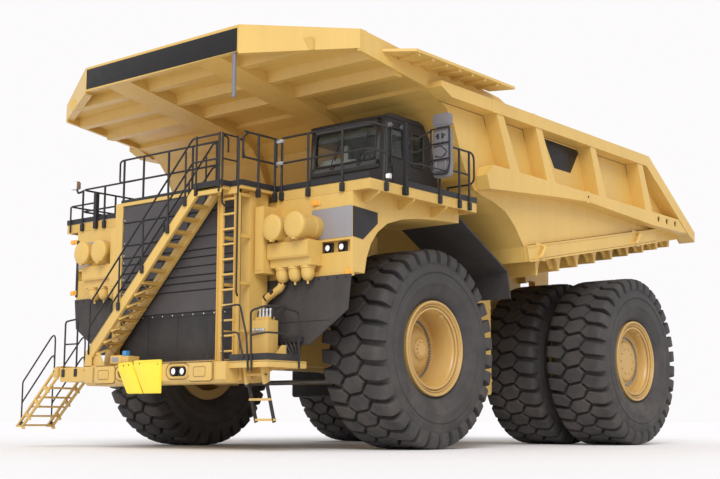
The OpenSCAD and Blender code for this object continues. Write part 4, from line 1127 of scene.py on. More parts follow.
@dataclass
class BumperTrim:
    """What the bumper carries: tow bosses, lamp rims, a case and the stowed chocks."""

    face: float = -4.03
    boss: Flat = (1.40, 1.47)
    lamp: Flat = (0.76, 1.49)

    def build(self) -> None:
        """Makes each of them."""
        self._bosses()
        self._case()
        self._chocks()

    def _octagon(self, half_x: float, half_z: float, cut: float) -> list[Flat]:
        """The outline of a tow boss in X and Z, with its corners cut off."""
        x, z = self.boss
        a, b = half_x - cut, half_z - cut
        return [(x - half_x, z - b), (x - a, z - half_z), (x + a, z - half_z), (x + half_x, z - b),
                (x + half_x, z + b), (x + a, z + half_z), (x - a, z + half_z), (x - half_x, z + b)]

    def _stadium(self, half: float, radii: Flat, y: float, steps: int) -> list[Point]:
        """A closed path round a lamp opening: two half rounds joined by straights.

        Args:
            half: From the opening's middle to the middle of a half round.
            radii: Of the half rounds in X and Z.
            y: The plane of the path.
            steps: Steps in a half round.

        Returns:
            The path, with its first point again at the end.
        """
        x, z = self.lamp
        left = [(x - half + radii[0] * math.cos(t), y, z + radii[1] * math.sin(t))
                for t in (math.pi / 2 + math.pi * k / steps for k in range(steps + 1))]
        path = left + [(2 * x - a, y, 2 * z - c) for a, _, c in left]
        return path + path[:1]

    def _bosses(self) -> None:
        """Makes the tow bosses and the rims of the lamp openings, with thin dark lines of painted shade
        round them.
        """
        form = Form()
        f = self.face
        x, z = self.boss
        form.loft([[form.bm.verts.new((x + (a - x) * g, y, z + (b - z) * g))
                    for a, b in self._octagon(0.31, 0.17, 0.04)]
                   for g, y in ((1.0, f + 0.004), (0.98, f - 0.03), (0.5, f - 0.05), (0.47, f - 0.051))])
        form.lathe([(0.026, f - 0.03), (0.066, f - 0.03), (0.062, f - 0.055), (0.026, f - 0.055)],
                   (x - 0.02, 0, 1.48), "Y", 24)
        form.box((x + 0.34, f - 0.02, 1.31), (x + 0.375, f, 1.63), 0.006)
        form.tube(self._stadium(0.15, (0.115, 0.115), f - 0.004, 12), 0.02, 8)
        # Thin dark tubes of painted shade round the bosses' outer edges and inner step, beside the side bar
        # and round the lamp opening.
        form.use(1)
        outer = self._octagon(0.32, 0.18, 0.045)
        edge = [(a, f - 0.003, b) for a, b in outer]
        form.tube(edge + edge[:1], 0.008, 6)
        inner = [(x + (a - x) * 0.5, f - 0.05, z + (b - z) * 0.5) for a, b in outer]
        form.tube(inner + inner[:1], 0.006, 6)
        form.tube([(x + 0.357, f - 0.022, 1.31), (x + 0.357, f - 0.022, 1.63)], 0.007, 6)
        form.tube(self._stadium(0.17, (0.165, 0.155), f - 0.003, 8), 0.008, 6)
        # A black disc at the back of the pin hole: painted shade in the bore.
        bore_shade_disc = [(0, f - 0.05), (0.027, f - 0.05), (0.027, f - 0.04), (0, f - 0.04)]
        form.use(2).lathe(bore_shade_disc, (x - 0.02, 0, 1.48), "Y", 20)
        form.mirrored().piece("bumper_trim", "chassis", PAINT, PAINTED_SEAM_SHADE, BLACK)

    def _case(self) -> None:
        """Makes the small case on the bumper's top."""
        case = Form()
        case.box((-1.36, -3.95, 1.69), (-1.02, -3.62, 1.86), 0.02)
        case.box((-1.05, -3.93, 1.69), (-0.82, -3.64, 1.84), 0.012)
        case.use(1).box((-1.30, -3.957, 1.73), (-1.10, -3.945, 1.82), 0.004)
        case.use(2).box((-1.05, -3.90, 1.84), (-0.93, -3.79, 1.95), 0.02)
        case.piece("bumper_case", "chassis", PAINT, PLATE_GREY, BLUE)

    def _chocks(self) -> None:
        """Makes the stowed chocks, which stand for the CAD chocks."""
        f = self.face
        chock = Form()
        chock.prism("Y", f - 0.03, f,
                    [(-0.65, 1.08), (-0.22, 1.08), (-0.56, 1.70), (-0.98, 1.68), (-0.96, 1.60)], 0.012)
        chock.prism("Y", f - 0.032, f,
                    [(-0.18, 1.08), (0.31, 1.08), (0.31, 1.72), (-0.50, 1.72), (-0.50, 1.62)], 0.012)
        for outline in ([(-0.66, 1.09), (-0.24, 1.09), (-0.555, 1.66), (-0.93, 1.64), (-0.95, 1.56)],
                        [(-0.17, 1.09), (0.295, 1.09), (0.295, 1.68), (-0.46, 1.68), (-0.47, 1.62)]):
            chock.prism("Y", f - 0.05, f - 0.012, outline, 0.022)
        chock.tube([(-0.93, f - 0.022, 1.66), (-0.58, f - 0.022, 1.68)], 0.032, 10)
        chock.tube([(-0.46, f - 0.022, 1.70), (0.29, f - 0.022, 1.70)], 0.032, 10)
        chock.piece("stowed_chocks", "chassis", CHOCK, stands_for=["wheel_chocks"])
        pins = [((x, f - 0.046, z), FRONT_FACING)
                for x, z in ((-0.78, 1.63), (-0.62, 1.64), (-0.30, 1.66), (0.24, 1.64))]
        REPEAT.bake("chock_pins", bolt(0.014, 0.008), pins, BLACK, "chassis", 1.0)


@dataclass
class Lamps:
    """Head lamps in their boxes and in the bumper, and the amber markers."""

    box_y: float = -2.80

    def build(self) -> None:
        """Makes the lamps, which stand for the CAD lamps."""
        form = Form()
        for x, y, z, r in ((3.37, -2.69, 3.77, 0.075), (3.71, -2.69, 3.77, 0.075),
                           (0.64, -4.015, 1.49, 0.08), (0.88, -4.015, 1.49, 0.08)):
            form.use(1).lathe([(0, 0.05), (r, 0.05), (r, -0.035), (r * 0.9, -0.045), (r * 0.82, -0.02),
                               (0, -0.02)], (x, y, z), "Y", 28)
            dome = [(r * 0.8 * math.sin(t), -0.018 - 0.02 * math.cos(t))
                    for t in (math.pi / 2 * k / 5 for k in range(6))]
            form.use(0).lathe(dome + [(0, -0.018)], (x, y, z), "Y", 28)
        form.use(1).box((0.525, -3.976, 1.405), (0.995, -3.972, 1.575), 0.002)
        for x in (3.37, 3.71):
            form.box((x - 0.105, -2.685, 3.672), (x + 0.105, -2.643, 3.868), 0.02)
        form.use(2).box((3.12, -2.645, 3.67), (3.98, -2.641, 3.87), 0.002)
        form.mirrored().piece("head_lamp_units", "chassis", LENS, BLACK, PAINT, stands_for=["head_lamps"])
        mark = Form()
        y = self.box_y
        for x, z, w in ((3.17, 4.64, 0.075), (3.11, 3.275, 0.055), (3.98, 3.275, 0.055),
                        (-4.17, 4.56, 0.075), (-4.10, 3.40, 0.055)):
            mark.use(0).box((x - w, y - 0.055, z - 0.045), (x + w * 0.6, y - 0.012, z + 0.045), 0.014)
            mark.use(1).box((x - w * 1.1, y - 0.016, z - 0.052), (x + w * 1.5, y, z + 0.052), 0.006)
        for z in (4.56, 3.40):
            mark.box((-4.26, y, z - 0.05), (-4.02, y + 0.03, z + 0.05), 0.006)
        # A black strip on the right fender's front edge: painted shade standing for the shadowed side wall
        # there.
        mark.use(2).box((-4.06, y - 0.014, 3.30), (-3.985, y + 0.002, 4.58), 0.004)
        mark.piece("marker_lamp_units", "chassis", AMBER, PAINT, BLACK, stands_for=["marker_lamps"])


@dataclass
class FrontModules:
    """The lamp boxes' blank plates and the air cleaners' lids, clips, bowls and pipes."""

    plate_y: float = -2.80

    def build(self) -> None:
        """Makes the plates, the canister trim and the pipes on both sides."""
        y = self.plate_y
        plate = Form()
        plate.box((3.055, y - 0.012, 3.93), (4.05, y, 4.51), 0.004)
        plate.use(1).prism("X", 4.05, 4.06, [(-2.79, 4.50), (-2.06, 4.46), (-2.06, 4.25), (-2.50, 3.90),
                                             (-2.79, 3.93)], 0.003)
        plate.use(2)
        for at in (-2.50, -1.42, -0.35):
            plate.prism("Y", at, at + 0.03, [(4.05, 4.60), (4.05, 4.79), (4.44, 4.79), (4.44, 4.74),
                                             (4.16, 4.60)], 0.004)
        plate.mirrored().piece("blank_plates", "chassis", PLATE_GREY, BLACK, PAINT)
        form = Form()
        for x in (2.56, 3.13):
            lid = [(0, -3.425), (0.15, -3.42), (0.21, -3.412), (0.236, -3.40), (0.248, -3.385),
                   (0.248, -3.33), (0.236, -3.325), (0, -3.325)]
            form.lathe(lid, (x, 0, 4.165), "Y", 48)
            form.lathe([(0.224, -3.0), (0.236, -3.0), (0.236, -2.96), (0.224, -2.96)], (x, 0, 4.165), "Y",
                       48)
            form.box((x - 0.03, -3.42, 3.89), (x + 0.03, -3.33, 3.93), 0.008)
        cup = [(0, 3.09), (0.02, 3.09), (0.024, 3.15), (0.055, 3.158), (0.088, 3.18), (0.112, 3.215),
               (0.127, 3.27), (0.131, 3.34), (0.131, 3.385), (0.146, 3.388), (0.146, 3.43), (0, 3.43)]
        for x in (2.49, 2.81, 3.13):
            form.lathe(cup, (x, -2.99, 0), "Z", 28)
        form.tube(bend([(2.45, -2.96, 3.14), (2.40, -2.96, 3.06), (1.98, -2.96, 2.85), (1.92, -2.96, 2.5),
                        (1.92, -2.96, 1.75)], 0.22), 0.075, 18)
        form.box((2.06, -3.312, 3.38), (2.25, -3.296, 4.57), 0.006)
        form.use(1)
        for a, b in (((2.27, 3.022), (2.19, 2.975)), ((2.06, 2.9), (2.03, 2.882))):
            form.tube([(a[0], -2.96, a[1]), (b[0], -2.96, b[1])], 0.084, 18)
        form.mirrored().piece("air_cleaner_trim", "chassis", PAINT, BLACK)
        clips = [((s * (x + 0.236 * math.cos(t)), -3.36, 4.165 + 0.236 * math.sin(t)), outward(s))
                 for s in (1, -1) for x in (2.56, 3.13) for t in (0.6, 2.5, -1.57)]
        REPEAT.bake("air_cleaner_clips", bolt(0.016, 0.03), clips, ZINC, "chassis", 1.0)


@dataclass
class GrilleTrim:
    """Overlapping slats over the radiator, with their rows of screws."""

    half: float = 1.755
    face: float = -3.37
    seams: Sequence[float] = (2.68, 3.11, 3.27, 3.41, 3.59, 3.77, 3.92, 4.18, 4.67, 5.03)

    def build(self) -> None:
        """Makes the slats and screws."""
        form = Form()
        f, h = self.face, self.half
        for low, high in zip(self.seams, self.seams[1:]):
            form.prism("X", -h, h, [(f, low + 0.012), (f - 0.022, low + 0.012), (f - 0.024, low + 0.024),
                                    (f - 0.006, high - 0.012), (f, high - 0.012)], 0.002)
        form.use(1)
        for k in range(4):
            x = -h + k * h / 2
            form.box((x + 0.012, f - 0.008, 1.75), (x + h / 2 - 0.012, f, 2.655), 0.004)
        form.box((-h, f - 0.016, 2.60), (h, f, 2.625), 0.004)
        form.box((-h, f - 0.05, 1.655), (h, f, 1.705), 0.006)
        form.piece("grille_trim", "chassis", GRILLE, BLACK)
        screws = [((-1.65 + 0.3 * k, f - 0.016, 2.64), FRONT_FACING) for k in range(12)]
        screws += [((x, f - 0.022, low + 0.06), FRONT_FACING) for low in self.seams[:-1]
                   for x in (-1.70, 1.70)]
        REPEAT.bake("grille_screws", bolt(0.012, 0.01), screws, ZINC, "chassis", 1.0)


@dataclass
class Mirrors:
    """The left mirror: two grey shells in a tube frame, on arms from a heavy post."""

    post: Flat = (4.49, -1.76)
    y: float = -0.75

    def build(self) -> None:
        """Makes the mirror, which stands for the CAD mirror."""
        form = Form()
        for z0, z1, r in ((6.28, 6.55, 0.07), (5.27, 6.25, 0.08)):
            form.prism("Y", self.y - 0.05, self.y + 0.05, self._round(4.44, 4.85, z0, z1, r), 0.018)
        form.prism("Y", self.y - 0.062, self.y - 0.045, self._round(4.48, 4.81, 5.62, 6.20, 0.03), 0.004)
        x, y = self.post
        form.use(3).box((x - 0.034, y - 0.04, 4.79), (x + 0.034, y + 0.04, 6.20), 0.014)
        form.box((x - 0.04, y - 0.06, 4.79), (x + 0.04, y + 0.06, 4.95), 0.01)
        form.use(1)
        frame_y = self.y - 0.085
        form.tube(bend([(4.42, frame_y, 6.24), (4.42, frame_y, 5.52), (4.46, frame_y, 5.34),
                        (4.80, frame_y, 5.32), (4.865, frame_y, 5.52), (4.865, frame_y, 6.24)], 0.09),
                  0.018)
        for z in (6.24, 5.94, 5.62):
            form.tube([(4.42, frame_y, z), (4.865, frame_y, z)], 0.015)
        for low, high in ((5.90, 6.22), (5.66, 5.92), (5.42, 5.62)):
            form.tube(bend([(x, y, low), (x - 0.02, y + 0.35, low + 0.02), (4.43, frame_y, high)], 0.15),
                      0.017)
        form.tube(bend([(x, y, 5.44), (4.66, y + 0.3, 5.40), (4.80, frame_y, 5.36)], 0.15), 0.015)
        for low, high in ((4.56, 4.60), (4.67, 4.71)):
            form.box((low, self.y - 0.085, 6.04), (high, self.y - 0.05, 6.14), 0.006)
            form.box((low, self.y - 0.075, 5.92), (high, self.y - 0.05, 5.97), 0.006)
        squiggle = [(4.48, 5.88), (4.64, 5.90), (4.80, 5.76), (4.66, 5.66), (4.50, 5.70)]
        form.tube(bend([(a, self.y - 0.066, b) for a, b in squiggle], 0.03), 0.009, 8)
        form.use(0).prism("Y", self.y - 0.058, self.y - 0.045, self._round(4.48, 4.81, 6.32, 6.51, 0.04),
                          0.004)
        handle = [(4.53, 5.58), (4.53, 5.40), (4.76, 5.40), (4.76, 5.58)]
        form.tube(bend([(a, self.y - 0.07, b) for a, b in handle], 0.06), 0.022)
        form.use(2).prism("Y", self.y + 0.05, self.y + 0.056, self._round(4.48, 4.81, 5.33, 6.19, 0.05),
                          0.002)
        form.piece("left_mirror", "chassis", MIRROR, BLACK, ROD, SIGN, stands_for=["mirrors"])
        feet = [((x + 0.042, y + dy, z), outward(1)) for dy in (-0.03, 0.03) for z in (4.82, 4.88, 4.94)]
        feet += [((4.53 + 0.07 * i, self.y - 0.064, z), FRONT_FACING) for i in (0, 3)
                 for z in (5.7, 5.95, 6.1)]
        REPEAT.bake("mirror_bolts", bolt(0.012, 0.012), feet, BLACK, "chassis", 1.0)

    def _round(self, x0: float, x1: float, z0: float, z1: float, r: float) -> list[Flat]:
        """A rectangle in X and Z with rounded corners."""
        mids = [(x1 - r, z1 - r, 0.0), (x0 + r, z1 - r, 0.5), (x0 + r, z0 + r, 1.0), (x1 - r, z0 + r, 1.5)]
        return [(x + r * math.cos(math.pi * (q + k / 12)), z + r * math.sin(math.pi * (q + k / 12)))
                for x, z, q in mids for k in range(7)]


@dataclass
class Cab:
    """The operator's cab: window seals, wipers, visor and lamps outside, seats and controls inside."""

    foot: float = -1.46
    right: float = 1.76
    left: float = 3.72

    def front(self, z: float) -> float:
        """The front face's place at a height, as it leans back."""
        return self.foot + 0.09 * (z - DECK) / 1.54

    def build(self) -> None:
        """Dresses the shell and door and fits the inside, which stands for the CAD inside."""
        form = Form()
        x0, x1 = self.right, self.left
        low, high = self.front(5.70) - 0.006, self.front(6.40) - 0.006
        self._seal(form, [(x0 + 0.13, low, 5.70), (3.48, low, 5.70), (3.48, high, 6.40),
                          (x0 + 0.13, high, 6.40)], 0.11)
        self._side_seal(form, x1 + 0.006, (-0.56, 5.65), (-0.15, 6.33))
        self._side_seal(form, x0 - 0.006, (-1.25, 5.70), (-0.20, 6.40))
        for x in (2.35, 3.05):
            form.tube(bend([(x, low - 0.014, 5.62), (x, low - 0.05, 5.64), (x + 0.22, high - 0.04, 6.2)],
                           0.03), 0.011, 8)
            form.beam((x + 0.10, low - 0.02, 5.78), (x + 0.25, high - 0.02, 6.3), 0.03, 0.012, (0, 1, 0))
        form.box((x0 + 0.05, self.front(5.5) - 0.03, 5.50), (3.60, self.front(5.5) + 0.01, 5.58), 0.012)
        form.box((x0 + 0.05, self.front(5.1) - 0.022, 5.10), (3.60, self.front(5.1) + 0.01, 5.14), 0.008)
        form.tube(bend([(3.69, self.front(5.0) + 0.03, 5.0), (3.69, self.front(6.4) + 0.03, 6.4),
                        (3.66, -1.30, 6.57), (3.64, -0.5, 6.58), (3.66, -0.15, 6.50), (3.69, 0.05, 6.30)],
                       0.16), 0.045, 14)
        for k in range(6):
            form.box((x1, -0.50 + 0.055 * k, 5.16), (x1 + 0.012, -0.47 + 0.055 * k, 5.36), 0.003)
        form.beam((x1 + 0.03, -1.37, 5.1), (x1 + 0.03, -1.37, 6.2), 0.03, 0.03, (1, 0, 0))
        for z in (5.12, 6.18):
            form.box((x1 - 0.01, -1.385, z - 0.02), (x1 + 0.04, -1.355, z + 0.02), 0.004)
        form.use(1)
        for y, z in ((-1.30, 6.36), (-0.88, 6.38)):
            form.lathe([(0, 0.06), (0.045, 0.05), (0.055, 0.0), (0.052, -0.02), (0.045, -0.012), (0, -0.02)],
                       (3.77, y - 0.03, z), "Y", 20)
        form.use(2)
        lean = (0.0, self.front(6.0) - self.front(5.0), 1.0)
        for z, deep in ((5.61, 0.14), (6.485, 0.13)):
            form.beam((x0 + 0.05, self.front(z), z), (3.60, self.front(z), z), 0.012, deep, lean)
        for x, wide in ((x0 + 0.085, 0.07), (3.55, 0.10)):
            form.beam((x, self.front(5.54), 5.54), (x, self.front(6.55), 6.55), wide, 0.012, (0, 1, 0))
        band = self.front(6.30) + 0.035
        form.use(3).beam((x0 + 0.14, band, 6.30), (3.47, band, 6.30), 0.006, 0.20, lean)
        form.piece("cab_trim", "chassis", SEAL, MIRROR, GLOSS, SUN_BAND)
        door = Form()
        self._side_seal(door, x1 + 0.006, (-1.22, 5.75), (-0.78, 6.34))
        door.prism("X", x1, x1 + 0.014, [(-1.18, 5.14), (-0.80, 5.14), (-0.80, 5.58), (-1.18, 5.58)], 0.006)
        door.box((x1, -1.28, 5.62), (x1 + 0.02, -1.18, 5.69), 0.006)
        door.piece("cab_door_trim", "cab_door", SEAL)
        self._inside()

    def _seal(self, form: Form, corners: Sequence[Point], radius: float = 0.05) -> None:
        """A rubber seal round a window's four corners, bent to a radius."""
        a, b = Vector(corners[0]), Vector(corners[-1])
        loop = [(a + b) / 2, *[Vector(c) for c in corners], (a + b) / 2]
        form.tube(bend(loop, radius), 0.02, 8)

    def _side_seal(self, form: Form, x: float, low: Flat, high: Flat) -> None:
        """A seal round an upright side window, given by two corners in Y and Z."""
        (y0, z0), (y1, z1) = low, high
        self._seal(form, [(x, y0, z0), (x, y1, z0), (x, y1, z1), (x, y0, z1)])

    def _inside(self) -> None:
        """Seats, console, dash and wheel."""
        form = Form()
        form.prism("X", 1.86, 3.63, [(-1.325, 5.30), (-1.14, 5.30), (-1.10, 5.50), (-1.16, 5.62),
                                     (-1.32, 5.66)], 0.02)
        form.prism("X", 2.82, 3.28, [(-1.16, 5.46), (-1.06, 5.50), (-1.10, 5.72), (-1.18, 5.70)], 0.015)
        form.use(2)
        for low, high, top in ((1.90, 2.36, 5.92), (2.30, 2.70, 5.86)):
            form.prism("X", low, high, [(-1.28, 5.64), (-1.02, 5.64), (-0.98, 5.76), (-1.06, top),
                                        (-1.20, top - 0.03), (-1.29, 5.76)], 0.04)
        form.tube([(2.42, -1.05, 5.84), (2.42, -1.05, 6.16)], 0.045, 14)
        form.use(0)
        for x in (2.6, 3.2):
            form.box((x - 0.1, -1.32, 5.055), (x + 0.1, -1.20, 5.34), 0.015)
        for x in (3.05, 2.35):
            form.prism("X", x - 0.15, x + 0.15,
                       [(-0.70, 5.055), (-0.35, 5.055), (-0.40, 5.38), (-0.66, 5.38)], 0.015)
            for s in (-1, 1):
                form.box((x + s * 0.31 - 0.035, -0.72, 5.60), (x + s * 0.31 + 0.035, -0.32, 5.65), 0.015)
                form.box((x + s * 0.30 - 0.015, -0.40, 5.40), (x + s * 0.30 + 0.015, -0.36, 5.62), 0.006)
        form.use(1).tube(bend([(3.05, -1.12, 5.54), (3.05, -1.04, 5.62), (3.05, -0.97, 5.75)], 0.05), 0.03,
                         12)
        hub = Vector((3.05, -0.96, 5.76))
        turn = Euler((math.radians(-48), 0, 0)).to_matrix()
        rim = [hub + turn @ Vector((0.22 * math.cos(t), 0.22 * math.sin(t), 0)) for t in
               (2 * math.pi * k / 32 for k in range(33))]
        form.tube(rim, 0.015, 10)
        for t in (0.5, 2.64, 4.71):
            form.tube([hub, hub + turn @ Vector((0.22 * math.cos(t), 0.22 * math.sin(t), 0))], 0.012, 8)
        form.piece("cab_controls", "chassis", DASH, SEAL, PALE)
        for n, x in enumerate((3.05, 2.35)):
            pads = Form()
            self._pad(pads, (x, -0.53, 5.44), (0.255, 0.27, 0.09), 0.0)
            self._pad(pads, (x, -0.24, 5.83), (0.245, 0.33, 0.07), math.radians(80))
            self._pad(pads, (x, -0.165, 6.24), (0.15, 0.10, 0.055), math.radians(80))
            seat = pads.piece(f"cab_seat_{n + 1}", "chassis", CLOTH,
                              stands_for=["cab_interior"] if n == 0 else ())

    def _pad(self, form: Form, at: Point, half: Point, lean: float) -> None:
        """A crowned cushion, pulled in between its corners and piped round its seam.

        Args:
            form: The shape that takes it.
            at: Its middle.
            half: Its half sizes across, along and through.
            lean: Its turn about X, from lying flat.
        """
        n = 12
        turn = Euler((lean, 0, 0)).to_matrix()
        base = Vector(at)

        def spot(i: int, j: int, up: float) -> Vector:
            """A point of the cushion's upper or lower skin."""
            u, v = 2 * i / n - 1, 2 * j / n - 1
            pull = (1 - 0.05 * (1 - v * v), 1 - 0.05 * (1 - u * u))
            rise = math.sqrt(max(0.0, 1 - u ** 6)) * math.sqrt(max(0.0, 1 - v ** 6))
            groove = 1 - 0.16 * math.exp(-((abs(u) - 0.55) / 0.06) ** 2)
            return base + turn @ Vector((half[0] * u * pull[0], half[1] * v * pull[1],
                                         half[2] * up * rise * (groove if up > 0 else 0.8)))

        skins = []
        for up in (1.0, -1.0):
            skins.append([[form.bm.verts.new(spot(i, j, up)) for j in range(n + 1)] for i in range(n + 1)])
        for g in skins:
            for i in range(n):
                for j in range(n):
                    form.bm.faces.new((g[i][j], g[i + 1][j], g[i + 1][j + 1], g[i][j + 1]))
        bmesh.ops.remove_doubles(form.bm, verts=[v for g in skins for row in g for v in row], dist=1e-5)
        edge = [(i, 0) for i in range(n)] + [(n, j) for j in range(n)] + [(n - i, n) for i in range(n)]
        edge += [(0, n - j) for j in range(n + 1)]
        form.tube([spot(i, j, 0.0) for i, j in edge], 0.007, 6)


@dataclass
class BedTrim:
    """The bed's blank plates, lifting loops, arched gussets, thin lines of painted seam shade and dark discs
    of painted shade for the tail holes.
    """

    wall: float = 4.336
    rail: float = 4.70
    floor_front: Flat = (2.99, 4.35)
    floor_slope: float = 0.1824
    rib_depth: float = 0.65
    rib_taper: float = 0.025
    ribs: Sequence[float] = (3.25, 4.20, 5.05, 5.90, 6.75, 7.60, 8.45, 9.25, 9.95)

    def floor(self, y: float) -> float:
        """The top of the bed's floor at a distance behind the front axle."""
        return self.floor_front[1] + (y - self.floor_front[0]) * self.floor_slope

    def depth(self, y: float) -> float:
        """How far a rib's end hangs below the floor's top."""
        return self.rib_depth - (y - self.ribs[0]) * self.rib_taper

    def build(self) -> None:
        """Makes each of them."""
        self._plates()
        form = Form()
        self._rails(form)
        self._gussets(form)
        # Thin dark lines of painted shade along the wall's joints.
        self._painted_seam_shade(form.use(3))
        # Dark discs of painted shade where the tail holes are.
        form.use(1)
        for y in (8.64, 9.11, 9.60):
            self._hole_shade_disc(form, (self.rail - 0.0595, y, 5.65), 0.078, 24)
        self._hole_shade_disc(form, (self.rail - 0.01, 4.965, 5.70), 0.03, 16)
        form.mirrored()
        form.use(2).tube([(2.15, -4.04, 6.62), (2.15, -4.04, 7.5)], 0.042, 12)
        form.piece("bed_trim", "bed", PAINT, SEAL, MIRROR, PAINTED_SEAM_SHADE)

    def _hole_shade_disc(self, form: Form, base: Point, radius: float, sides: int) -> None:
        """A dark disc of painted shade that reads as a hole through a side plate."""
        form.lathe([(0, 0), (radius, 0), (radius, 0.004), (0, 0.004)], base, "X", sides)

    def _plates(self) -> None:
        """Makes the blank plates on the side walls and the canopy's front."""
        plate = Form()
        side = [(3.62, 6.89), (5.10, 6.88), (5.16, 6.80), (4.78, 6.28), (4.05, 6.28)]
        plate.prism("X", self.wall, self.wall + 0.006, side, 0.002)
        plate.mirrored()
        plate.prism("Y", -4.093, -4.085, [(-2.26, 7.53), (2.26, 7.50), (2.26, 7.95), (-2.26, 7.96)], 0.002)
        plate.piece("bed_blank_plates", "bed", SIGN)

    def _rails(self, form: Form) -> None:
        """Adds the lifting loops, the floor's edge beams and the clips on the top rail."""
        for y in (3.25, 7.85):
            z = self.floor(y) - 0.16
            form.tube(bend([(4.40, y - 0.11, z - 0.13), (4.50, y - 0.11, z - 0.11),
                            (4.50, y + 0.07, z + 0.13), (4.40, y + 0.08, z + 0.15)], 0.07), 0.042, 12)
            form.box((4.41, y - 0.19, z - 0.18), (4.425, y + 0.16, z + 0.20), 0.004)
        for y0, y1, drop in ((2.81, 9.0, 0.315), (2.72, 9.0, -0.01)):
            form.beam((4.41, y0, self.floor(y0) - drop), (4.41, y1, self.floor(y1) - drop), 0.045, 0.035)
        y = 4.93
        form.box((self.rail - 0.004, y - 0.012, 6.93), (self.rail + 0.006, y + 0.012, 7.20), 0.003)
        form.box((self.rail - 0.03, y - 0.03, 5.56), (self.rail - 0.008, y + 0.10, 5.835), 0.004)
        for y in (1.02, 2.6):
            form.box((self.rail - 0.004, y - 0.05, 6.92), (self.rail + 0.008, y + 0.05, 7.21), 0.004)

    def _gussets(self, form: Form) -> None:
        """Adds the arched gussets between the ribs' ends."""
        for a, b in zip(self.ribs, self.ribs[1:]):
            y0, y1 = a + 0.125, b + 0.035
            mid, half = (y0 + y1) / 2, (y1 - y0) / 2
            arch = []
            for k in range(17):
                t = math.pi * k / 16
                y, share = mid - half * math.cos(t), math.sin(t)
                foot = self.floor(y) - self.depth(y)
                arch.append((y, foot + (self.floor(y) - 0.19 - foot) * share))
            form.prism("X", 4.215, 4.252, arch + [(y1, self.floor(y1) - 0.13), (y0, self.floor(y0) - 0.13)],
                       0.0)

    def _painted_seam_shade(self, form: Form) -> None:
        """Adds thin dark lines of painted shade along the joints of the wall's ribs, its rail and the
        floor's edge.
        """
        x = self.wall + 0.001
        for top, low in ((1.27, 1.90), (2.82, 3.40), (5.25, 5.75), (7.67, 8.15)):
            for a, b in ((-0.13, -0.19), (0.13, 0.19)):
                form.tube([(x, top + a, 6.94), (x, low + b, 5.80)], 0.011, 6)
        form.tube([(x, -0.45, 6.928), (x, 7.98, 6.928)], 0.011, 6)
        form.tube([(x, 1.0, 5.812), (x, 9.75, 5.795)], 0.011, 6)
        for y0, y1, drop in ((2.84, 9.0, 0.285), (2.75, 9.0, -0.04)):
            form.tube([(4.412, y0, self.floor(y0) - drop), (4.412, y1, self.floor(y1) - drop)], 0.007, 6)


@dataclass
class Underbody:
    """Lines, brackets and fasteners on the frame, axle and tanks."""

    def build(self) -> None:
        """Makes the rigid lines and the rows of bolts."""
        form = Form()
        for k in range(3):
            x = 1.075 + 0.05 * k
            form.tube(bend([(x, -1.4, 2.56), (x, 1.6, 2.56), (x, 2.7, 2.9), (x, 3.0, 2.95)], 0.15), 0.02)
        for y in (-0.9, 0.8, 1.5):
            form.box((1.05, y - 0.03, 2.52), (1.22, y + 0.03, 2.60), 0.006)
        for k in range(5):
            form.tube(bend([(1.05, -2.79, 1.95 - 0.07 * k), (1.9, -2.82, 1.90 - 0.06 * k),
                            (2.36 + 0.04 * k, -2.79, 1.52), (2.62 + 0.05 * k, -2.85, 1.70),
                            (2.30 + 0.12 * k, -2.87, 2.10)], 0.25), 0.032)
        form.box((2.22, -2.90, 2.02), (2.90, -2.79, 2.12), 0.01)
        form.box((1.90, -2.846, 2.40), (3.55, -2.838, 2.415), 0.002)
        form.use(1)
        for z in (1.45, 3.12):
            form.box((1.515, 2.98, z), (2.757, 3.77, z + 0.07), 0.01)
        form.lathe([(0, 0), (0.11, 0), (0.11, 0.05), (0.09, 0.07), (0, 0.07)], (2.2, 3.38, 3.42), "Z", 24)
        form.mirrored().piece("frame_lines", "chassis", BLACK, PAINT)
        places = [(-2.4 + 0.3 * k, 2.1) for k in range(6)] + [(4.4 + 0.22 * k, 1.5) for k in range(5)]
        rows = [((s * 1.052, y, z), outward(s)) for s in (1, -1) for y, z in places]
        REPEAT.bake("frame_bolts", bolt(0.024, 0.03), rows, STEEL, "chassis", 1.0)
        flaps = [((s * (1.95 + 0.22 * k), -2.842, 3.18), FRONT_FACING) for s in (1, -1) for k in range(10)]
        REPEAT.bake("flap_bolts", bolt(0.016, 0.014), flaps, BLACK, "chassis", 1.0)


